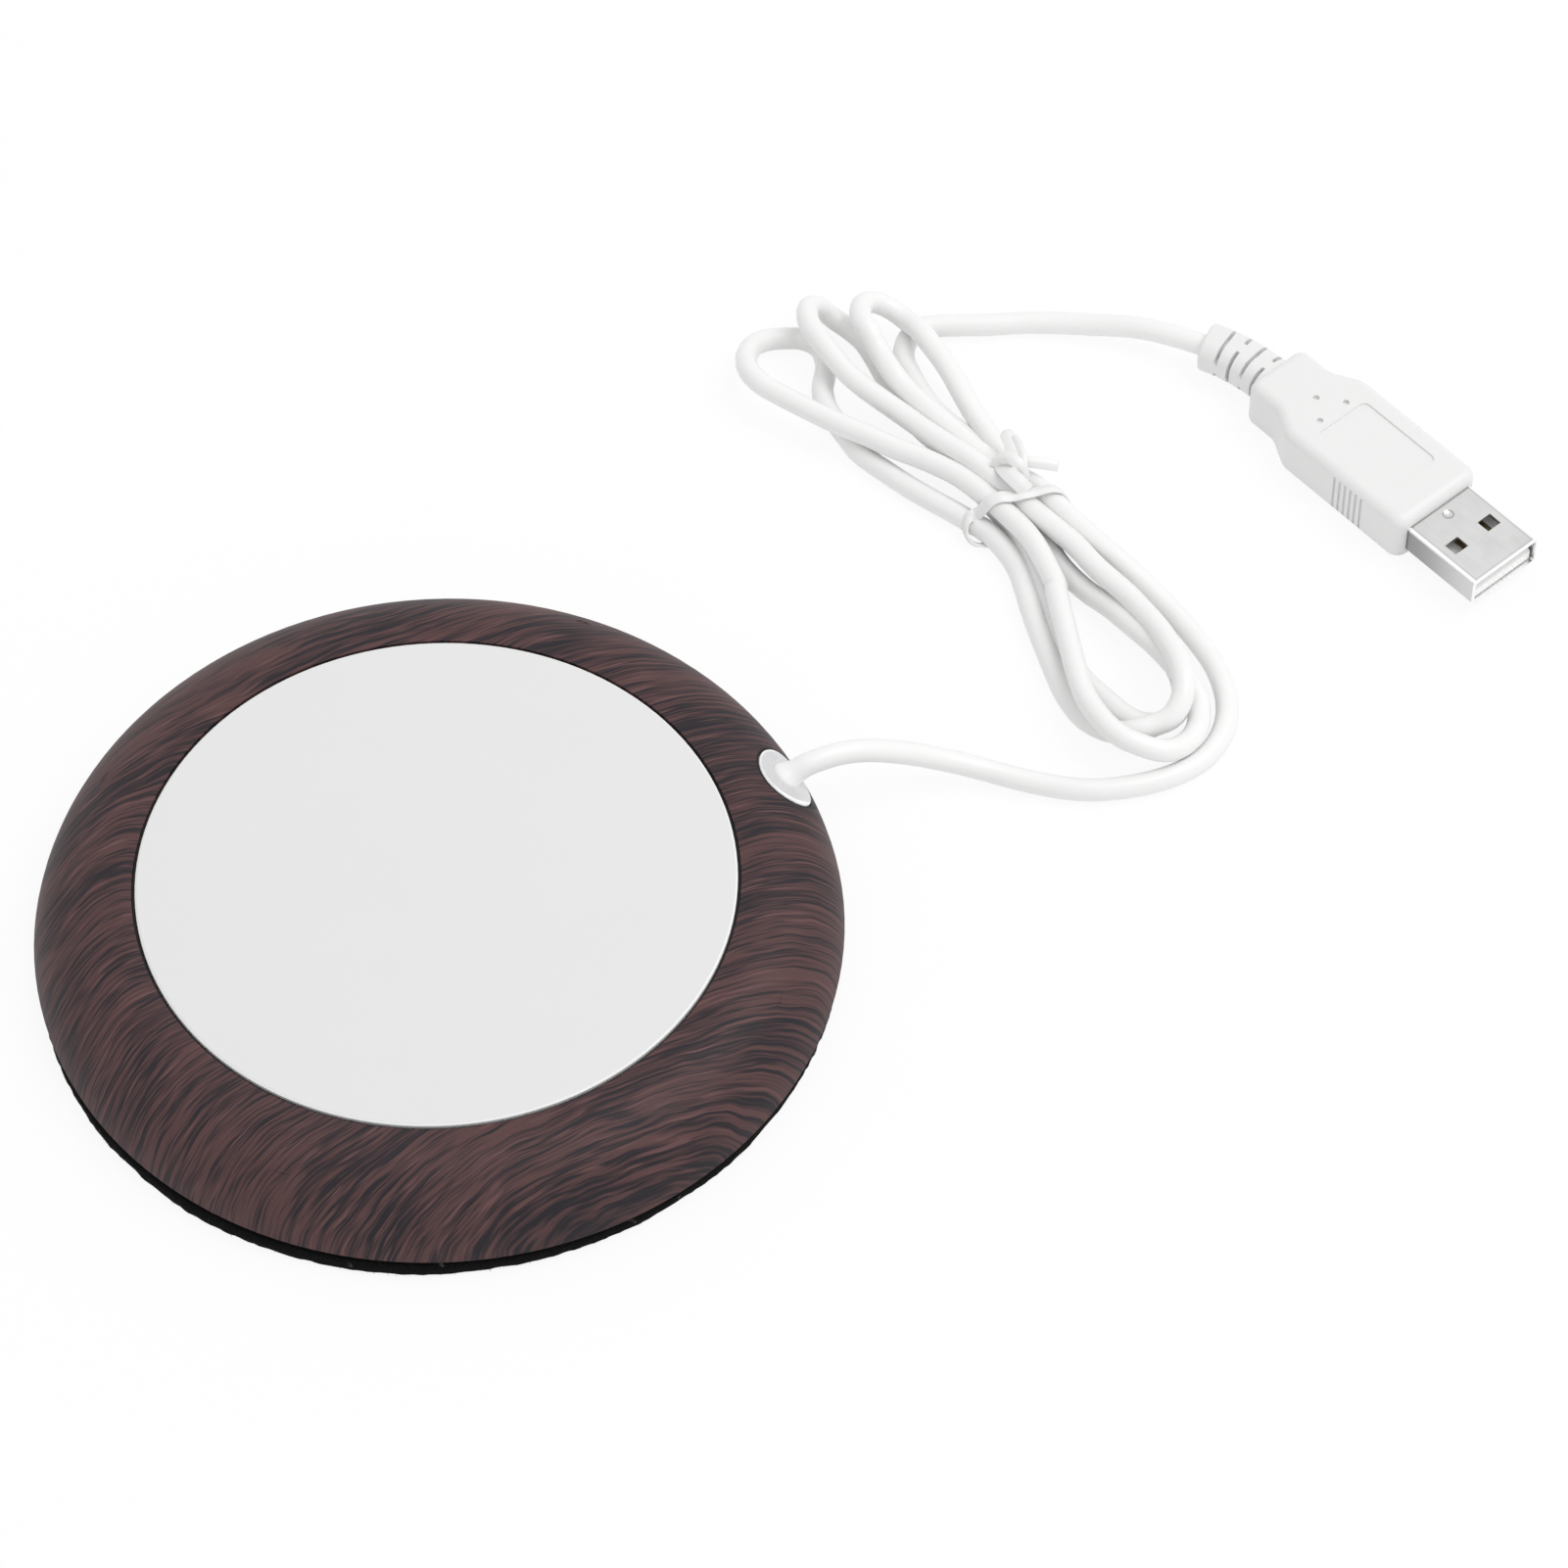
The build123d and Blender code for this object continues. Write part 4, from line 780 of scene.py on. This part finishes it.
def felt_foot(body, settings):
    """A disc of felt whose cut edge wanders, and short fibres standing out of it."""
    rings = []
    for inward, share in FOOT_PROFILE:
        height = PAD_TOP * share
        ring = []
        for step in range(FOOT_STEPS):
            angle = math.tau * step / FOOT_STEPS
            reach = felt_edge(angle, height, settings) - inward
            ring.append(body.verts.new((reach * math.cos(angle), reach * math.sin(angle), height)))
        rings.append(ring)
    join_rings(body, rings)
    for ring, height in ((rings[0], 0.0), (rings[-1], PAD_TOP)):
        middle = body.verts.new((0, 0, height))
        for step in range(FOOT_STEPS):
            body.faces.new((ring[step], ring[(step + 1) % FOOT_STEPS], middle))
    dice = random.Random(FIBRE_SEED)
    for _ in range(settings.fibres):
        add_fibre(body, dice, settings)


def add_fibre(body, dice, settings):
    """One short fibre: a slim closed spike that starts inside the felt's edge."""
    angle = dice.uniform(0, math.tau)
    height = PAD_TOP * dice.uniform(*FIBRE_HEIGHT_SHARES)
    out = Vector((math.cos(angle), math.sin(angle), 0))
    along = Vector((-out.y, out.x, 0))
    root = out * (felt_edge(angle, height, settings) - FIBRE_ROOT) + Vector((0, 0, height))
    length = FIBRE_LENGTH * dice.uniform(*FIBRE_LENGTH_SHARES)
    lean = along * dice.uniform(-1, 1) + Vector((0, 0, dice.uniform(-FIBRE_RISE, FIBRE_RISE)))
    tip = root + (out + lean).normalized() * length + out * FOOT_MARGIN
    tip.z = min(max(tip.z, FOOT_MARGIN), PAD_TOP - FOOT_MARGIN)
    tip.x, tip.y = (min(max(reach, -RING_R), RING_R) for reach in (tip.x, tip.y))
    corners = (along * FIBRE_WIDTH, -along * FIBRE_WIDTH, Vector((0, 0, FIBRE_THICKNESS)))
    foot = [body.verts.new(root + corner) for corner in corners]
    point = body.verts.new(tip)
    body.faces.new(foot)
    for first, second in ((0, 1), (1, 2), (2, 0)):
        body.faces.new((foot[first], foot[second], point))


# ---- settings
def colour_setting(name, description, default):
    return FloatVectorProperty(
        name=name, description=description, default=default, subtype="COLOR", size=3, min=0, max=1
    )


def number_setting(name, description, default, **kind):
    return FloatProperty(name=name, description=description, default=default, **kind)


def length_setting(name, description, default):
    return number_setting(name, description, default, min=0, subtype="DISTANCE", unit="LENGTH")


def angle_setting(name, description, degrees):
    return number_setting(name, description, math.radians(degrees), subtype="ANGLE", unit="ROTATION")


def share_setting(name, description, default):
    return number_setting(name, description, default, min=0, max=1, subtype="FACTOR")


class CrownSettings(PropertyGroup):
    """The ring's printed finish."""

    warm: colour_setting("Warm Colour", "Reddish ground between the dark bands", (0.093, 0.0445, 0.0445))
    dark: colour_setting("Dark Colour", "Slate dark bands and gaps", (0.0145, 0.012, 0.0165))
    light: colour_setting("Light Colour", "Short pale streaks", (0.165, 0.08, 0.08))
    # Painted shade in the open line round the grommet's seat.
    seat_shade_colour: colour_setting("Seat Colour", "Open line round the grommet's seat", (0.004, 0.003, 0.003))
    turn: angle_setting("Print Direction", "Heading of the print, from the +X axis", 97.3)
    bow: number_setting("Bow", "How much the streaks bow across the ring", 0.13)
    band_scale: number_setting("Band Scale", "Broad bands across one ring radius", 9.0, min=1)
    streak_scale: number_setting("Streak Scale", "Fine streaks across one ring radius", 96.0, min=1)
    streak_length: number_setting("Streak Length Scale", "Streaks end to end in one radius", 5.0, min=1)
    roughness: share_setting("Roughness", "Gloss of the print", 0.5)


class PlateSettings(PropertyGroup):
    """The warming plate's coat."""

    colour: colour_setting("Coat Colour", "Pale matt coat", (0.77, 0.77, 0.768))
    # Painted highlight on the turned edge, and the width it covers.
    edge_highlight_colour: colour_setting("Edge Colour", "Turned edge of the plate", (0.98, 0.98, 0.98))
    edge_width: length_setting("Edge Width", "Width of the turned edge", 0.00028)
    roughness: share_setting("Roughness", "Gloss of the coat", 0.6)


class GrommetSettings(PropertyGroup):
    """The clear oval that the cord comes out of."""

    colour: colour_setting("Resin Colour", "Cloudy resin", (0.63, 0.632, 0.645))
    # Painted highlight on the rim.
    rim_highlight_colour: colour_setting("Rim Colour", "Brighter moulded rim", (0.97, 0.97, 0.97))
    # Painted light at the cord's root.
    root_light_colour: colour_setting("Root Colour", "Resin moulded on the cord", (0.72, 0.72, 0.725))
    half_width: length_setting("Half Width", "Half the oval's width", 0.0049)
    half_reach: length_setting("Half Reach", "Half the oval's reach, seen from above", 0.00363)


class CordSettings(PropertyGroup):
    """The cord and its tie."""

    diameter: length_setting("Diameter", "Diameter of the cord", CORD_D)
    length: length_setting("Length", "Length of the cord from grommet to plug", 0.78)
    colour: colour_setting("Cord Colour", "White PVC", (0.885, 0.885, 0.88))
    roughness: share_setting("Roughness", "Gloss of the PVC", 0.36)
    tie_width: length_setting("Tie Width", "Width of the tie's ribbon", 0.0017)
    tie_thickness: length_setting("Tie Thickness", "Thickness of the ribbon over its wire", 0.0006)
    tie_colour: colour_setting("Tie Colour", "White plastic of the tie", (0.87, 0.87, 0.865))


class PadSettings(PropertyGroup):
    """The felt foot."""

    colour: colour_setting("Felt Colour", "Black felt", (0.006, 0.006, 0.0065))
    lint: colour_setting("Lint Colour", "Stray pale fibres", (0.22, 0.22, 0.22))
    unevenness: length_setting("Edge Unevenness", "How far the cut edge wanders", 0.00035)
    slip: length_setting("Slip", "How far the felt stands out where it was glued off centre", 0.0008)
    slip_heading: angle_setting("Slip Heading", "Where the felt stands out most, from the +X axis", -44)
    fibres: IntProperty(
        name="Fibres", description="Loose fibres along the cut edge", min=0, max=5000, default=1500
    )


class StageSettings(PropertyGroup):
    """Floor, lamps and camera."""

    floor_colour: colour_setting("Floor Colour", "Pale floor", (0.95, 0.95, 0.95))
    sky_strength: number_setting("Surround Strength", "Even light from all round", 0.76, min=0)
    key_power: number_setting(
        "Key Lamp Power", "Large soft lamp overhead", 4.6, min=0, subtype="POWER", unit="POWER"
    )
    key_size: length_setting("Key Lamp Size", "Side of the square lamp", 0.7)
    camera_lens: number_setting(
        "Focal Length", "Lens of the camera, in millimetres", 146.2, min=10,
        subtype="DISTANCE_CAMERA", unit="CAMERA",
    )


class MugWarmerSettings(PropertyGroup):
    """All settings of the mug warmer."""

    crown: PointerProperty(name="Crown Ring", description="Finish of the ring", type=CrownSettings)
    plate: PointerProperty(name="Plate", description="Finish of the plate", type=PlateSettings)
    grommet: PointerProperty(name="Grommet", description="Finish of the grommet", type=GrommetSettings)
    cord: PointerProperty(name="Cord", description="Cord and tie", type=CordSettings)
    pad: PointerProperty(name="Foot", description="Felt foot", type=PadSettings)
    stage: PointerProperty(name="Stage", description="Floor, lamps and camera", type=StageSettings)


# ---- operators
class MUGWARMER_OT_crown(Operator):
    """Prints the dark timber pattern on the crown ring"""

    bl_idname = "mugwarmer.crown"
    bl_label = "Finish Crown Ring"

    def execute(self, context):
        settings = context.scene.mug_warmer
        paint("top_shell", crown_print(settings.crown, settings.grommet))
        return {"FINISHED"}


class MUGWARMER_OT_plate(Operator):
    """Coats the warming plate and colours its seal"""

    bl_idname = "mugwarmer.plate"
    bl_label = "Finish Warming Plate"

    def execute(self, context):
        paint("warming_plate", plate_coat(context.scene.mug_warmer.plate))
        seal = moulded("seal_rubber", (0.02, 0.02, 0.02), 0.75, mottle=0.1, Specular_IOR_Level=0.3)
        paint("plate_seal", seal)
        return {"FINISHED"}


class MUGWARMER_OT_base(Operator):
    """Colours the base cover and its screws"""

    bl_idname = "mugwarmer.base"
    bl_label = "Finish Base"

    def execute(self, context):
        cover_black = (0.022, 0.022, 0.024)
        cover_plastic = moulded("base_plastic", cover_black, 0.5, mottle=0.08, grain=4000.0, depth=0.00003)
        paint("base_cover", cover_plastic)
        paint("base_screws", metal("screw_zinc", (0.52, 0.53, 0.55), 0.34))
        return {"FINISHED"}


class MUGWARMER_OT_foot(Operator):
    """Cuts the felt foot, with an uneven fuzzy edge"""

    bl_idname = "mugwarmer.foot"
    bl_label = "Build Felt Foot"

    def execute(self, context):
        settings = context.scene.mug_warmer.pad
        felt = fibre("foot_felt", settings.colour, settings.lint, 0.5, 2600.0)
        foot = add_piece("felt_foot", lambda body: felt_foot(body, settings), felt)
        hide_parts("foot_pad")
        return {"FINISHED"}


class MUGWARMER_OT_grommet(Operator):
    """Gives the oval grommet its cloudy resin"""

    bl_idname = "mugwarmer.grommet"
    bl_label = "Finish Grommet"

    def execute(self, context):
        paint("cord_grommet", grommet_resin(context.scene.mug_warmer.grommet))
        return {"FINISHED"}


class MUGWARMER_OT_tie(Operator):
    """Winds the twist tie round the hank's waist"""

    bl_idname = "mugwarmer.tie"
    bl_label = "Wind Twist Tie"

    def execute(self, context):
        settings = context.scene.mug_warmer.cord
        half_width = settings.tie_width / 2 / MM
        half_thickness = settings.tie_thickness / 2 / MM
        plastic = moulded("tie_plastic", settings.tie_colour, 0.4)
        tie = add_piece(
            "twist_tie_ribbon", lambda body: tie_ribbons(body, half_width, half_thickness), plastic
        )
        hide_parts("twist_tie")
        return {"FINISHED"}


class MUGWARMER_OT_cord(Operator):
    """Lays the cord: over the ring's shoulder, through the tied hank and out to the plug"""

    bl_idname = "mugwarmer.cord"
    bl_label = "Lay Cord"

    def execute(self, context):
        settings = context.scene.mug_warmer.cord
        pvc = moulded(
            "cord_pvc", settings.colour, settings.roughness, mottle=0.01, grain=1500.0,
            Subsurface_Weight=0.1, Subsurface_Scale=0.001, Subsurface_Radius=EVEN_RADIUS,
        )
        curve = cord_curve("cord", cord_points(), settings.diameter)
        curve.materials.append(pvc)
        cord = bpy.data.objects.new("cord", curve)
        context.scene.collection.objects.link(cord)
        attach(cord, BODY)
        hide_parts("power_cord", "cord_hank", "plug_cord")
        return {"FINISHED"}


class MUGWARMER_OT_plug(Operator):
    """Finishes the plug's overmould, steel shell and inner pieces"""

    bl_idname = "mugwarmer.plug"
    bl_label = "Finish Plug"

    def execute(self, context):
        white = (0.81, 0.81, 0.806)
        paint("plug_overmould", moulded("plug_pvc", white, 0.42, mottle=0.008, grain=1800.0))
        paint("plug_premould", moulded("premould_nylon", (0.8, 0.8, 0.78), 0.5))
        paint("plug_tongue", moulded("tongue_nylon", (0.95, 0.95, 0.945), 0.35))
        paint("plug_shell", shell_nickel())
        paint("plug_contacts", metal("contact_gilt", (0.5, 0.4, 0.24), 0.3))
        return {"FINISHED"}


class MUGWARMER_OT_inside(Operator):
    """Finishes the pieces inside the housing"""

    bl_idname = "mugwarmer.inside"
    bl_label = "Finish Inner Pieces"

    # For each piece: its material's name, its colour and its roughness.
    plastics = {
        "heater_film": ("heater_film_amber", (0.55, 0.26, 0.04), 0.25),
        "thermal_cutout": ("cutout_case", (0.03, 0.03, 0.035), 0.4),
        "led_board": ("board_mask", (0.02, 0.16, 0.07), 0.3),
        "led": ("lamp_case", (0.85, 0.85, 0.8), 0.2),
        "led_resistor": ("resistor_glaze", (0.04, 0.04, 0.05), 0.35),
        "cord_tail": ("cord_tail_pvc", (0.86, 0.86, 0.855), 0.36),
        "cord_clamp": ("clamp_nylon", (0.82, 0.82, 0.8), 0.45),
        "wire_red": ("wire_red_pvc", (0.5, 0.02, 0.02), 0.35),
        "wire_black": ("wire_black_pvc", (0.015, 0.015, 0.015), 0.35),
        "heater_leads": ("lead_sleeve", (0.82, 0.8, 0.72), 0.6),
    }

    def execute(self, context):
        for node, (name, colour, roughness) in self.plastics.items():
            paint(node, moulded(name, colour, roughness, mottle=0.05))
        wool, pale_wool = (0.8, 0.79, 0.74), (0.95, 0.95, 0.92)
        paint("insulation_pad", fibre("insulation_fibre", wool, pale_wool, 0.6, 1500.0))
        paint("heater_track", metal("track_foil", (0.55, 0.45, 0.36), 0.35))
        paint("clamp_screws", metal("clamp_screw_zinc", (0.55, 0.55, 0.57), 0.34))
        return {"FINISHED"}


class MUGWARMER_OT_stage(Operator):
    """Sets the pale floor, the soft light and the camera"""

    bl_idname = "mugwarmer.stage"
    bl_label = "Set Stage"

    def execute(self, context):
        scene = context.scene
        settings = scene.mug_warmer.stage
        scene.view_settings.view_transform = "Standard"
        add_floor(scene, settings)
        add_surround(scene, settings)
        add_key_lamp(scene, settings)
        add_camera(scene, settings)
        return {"FINISHED"}


# ---- stage
def seen_rays(graph):
    """1 for rays that show the background: from the camera, in gloss and through glass."""
    path = graph.add("ShaderNodeLightPath").outputs
    both = graph.larger(path["Is Camera Ray"], path["Is Glossy Ray"])
    return graph.larger(both, path["Is Transmission Ray"])


def seen_through(graph):
    """1 where the floor is looked through from below, and under the object's own footprint."""
    path = graph.add("ShaderNodeLightPath").outputs
    behind = graph.add("ShaderNodeNewGeometry").outputs["Backfacing"]
    camera = path["Is Camera Ray"]
    close = graph.math("LESS_THAN", path["Ray Length"], CONTACT_GAP)
    return graph.larger(graph.times(behind, camera), graph.math("SUBTRACT", close, camera, clamp=True))


def mix_shaders(graph, share, first, second):
    return graph.add("ShaderNodeMixShader", enumerate((share, first, second))).outputs[0]


def add_floor(scene, settings):
    """A wide pale sheet that glows white to the camera, apart from the object's shadow."""
    material, graph, shader = new_material("floor_paper", Roughness=0.9, Specular_IOR_Level=0.1)
    paper = use_group(
        graph, moulded_surface(), Color=settings.floor_colour, Mottle=0.004, Grain_Scale=300.0
    )
    graph.set(shader.inputs["Base Color"], paper["Color"])
    glow = graph.add("ShaderNodeEmission", {"Strength": 1.0}).outputs[0]
    clear = graph.add("ShaderNodeBsdfTransparent").outputs[0]
    share = graph.times(seen_rays(graph), FLOOR_GLOW_SHARE)
    sheet = mix_shaders(graph, share, shader.outputs[0], glow)
    surface = graph.tree.nodes["Material Output"].inputs["Surface"]
    graph.set(surface, mix_shaders(graph, seen_through(graph), sheet, clear))
    mesh = bpy.data.meshes.new("floor")
    corners = [
        (x * FLOOR_HALF, y * FLOOR_HALF, -FLOOR_DROP) for x, y in ((-1, -1), (1, -1), (1, 1), (-1, 1))
    ]
    mesh.from_pydata(corners, [], [(0, 1, 2, 3)])
    mesh.materials.append(material)
    floor = bpy.data.objects.new("floor", mesh)
    scene.collection.objects.link(floor)


def add_surround(scene, settings):
    """Even light from all round, which the camera sees as pure white."""
    world = bpy.data.worlds.new("studio")
    scene.world = world
    world.use_nodes = True
    graph = Graph(world.node_tree)
    background = graph.tree.nodes["Background"].inputs
    extra = 1.0 - settings.sky_strength
    graph.set(background["Color"], (1.0, 1.0, 1.0))
    strength = graph.math("MULTIPLY_ADD", seen_rays(graph), extra, settings.sky_strength)
    graph.set(background["Strength"], strength)


def hold_up(scene, name, data, place, aim):
    """Puts a lamp or a camera in its place and points it."""
    holder = bpy.data.objects.new(name, data)
    holder.location = place
    holder.rotation_euler = (Vector(aim) - Vector(place)).to_track_quat("-Z", "Y").to_euler()
    scene.collection.objects.link(holder)
    return holder


def add_key_lamp(scene, settings):
    lamp = bpy.data.lights.new("key_lamp", "AREA")
    lamp.shape = "SQUARE"
    lamp.size = settings.key_size
    lamp.energy = settings.key_power
    hold_up(scene, "key_lamp", lamp, KEY_AT, KEY_AIM)


def add_camera(scene, settings):
    camera = bpy.data.cameras.new("camera")
    camera.lens = settings.camera_lens
    camera.sensor_width = SENSOR_MM
    camera.clip_start = 0.01
    camera.clip_end = 50.0
    scene.camera = hold_up(scene, "camera", camera, CAMERA_AT, CAMERA_AIM)


# ---- panel and registering
class MUGWARMER_PT_panel(Panel):
    """Lists the steps that dress the mug warmer"""

    bl_idname = "MUGWARMER_PT_panel"
    bl_label = "Mug Warmer"
    bl_space_type = "VIEW_3D"
    bl_region_type = "UI"
    bl_category = "Mug Warmer"

    def draw(self, context):
        for step in STEPS:
            self.layout.operator(step.bl_idname)


# The tie comes before the cord.
STEPS = (
    MUGWARMER_OT_stage,
    MUGWARMER_OT_crown,
    MUGWARMER_OT_plate,
    MUGWARMER_OT_base,
    MUGWARMER_OT_foot,
    MUGWARMER_OT_grommet,
    MUGWARMER_OT_tie,
    MUGWARMER_OT_cord,
    MUGWARMER_OT_plug,
    MUGWARMER_OT_inside,
)
SETTINGS = (
    CrownSettings, PlateSettings, GrommetSettings, CordSettings, PadSettings, StageSettings,
    MugWarmerSettings,
)


def register():
    for kind in (*SETTINGS, *STEPS, MUGWARMER_PT_panel):
        bpy.utils.register_class(kind)
    bpy.types.Scene.mug_warmer = PointerProperty(
        name="Mug Warmer", description="Settings of the mug warmer", type=MugWarmerSettings
    )


def unregister():
    del bpy.types.Scene.mug_warmer
    for kind in reversed((*SETTINGS, *STEPS, MUGWARMER_PT_panel)):
        bpy.utils.unregister_class(kind)


def main():
    register()
    bpy.ops.mugwarmer.stage()
    bpy.ops.mugwarmer.crown()
    bpy.ops.mugwarmer.plate()
    bpy.ops.mugwarmer.base()
    bpy.ops.mugwarmer.foot()
    bpy.ops.mugwarmer.grommet()
    bpy.ops.mugwarmer.tie()
    bpy.ops.mugwarmer.cord()
    bpy.ops.mugwarmer.plug()
    bpy.ops.mugwarmer.inside()


if __name__ == "__main__":
    main()
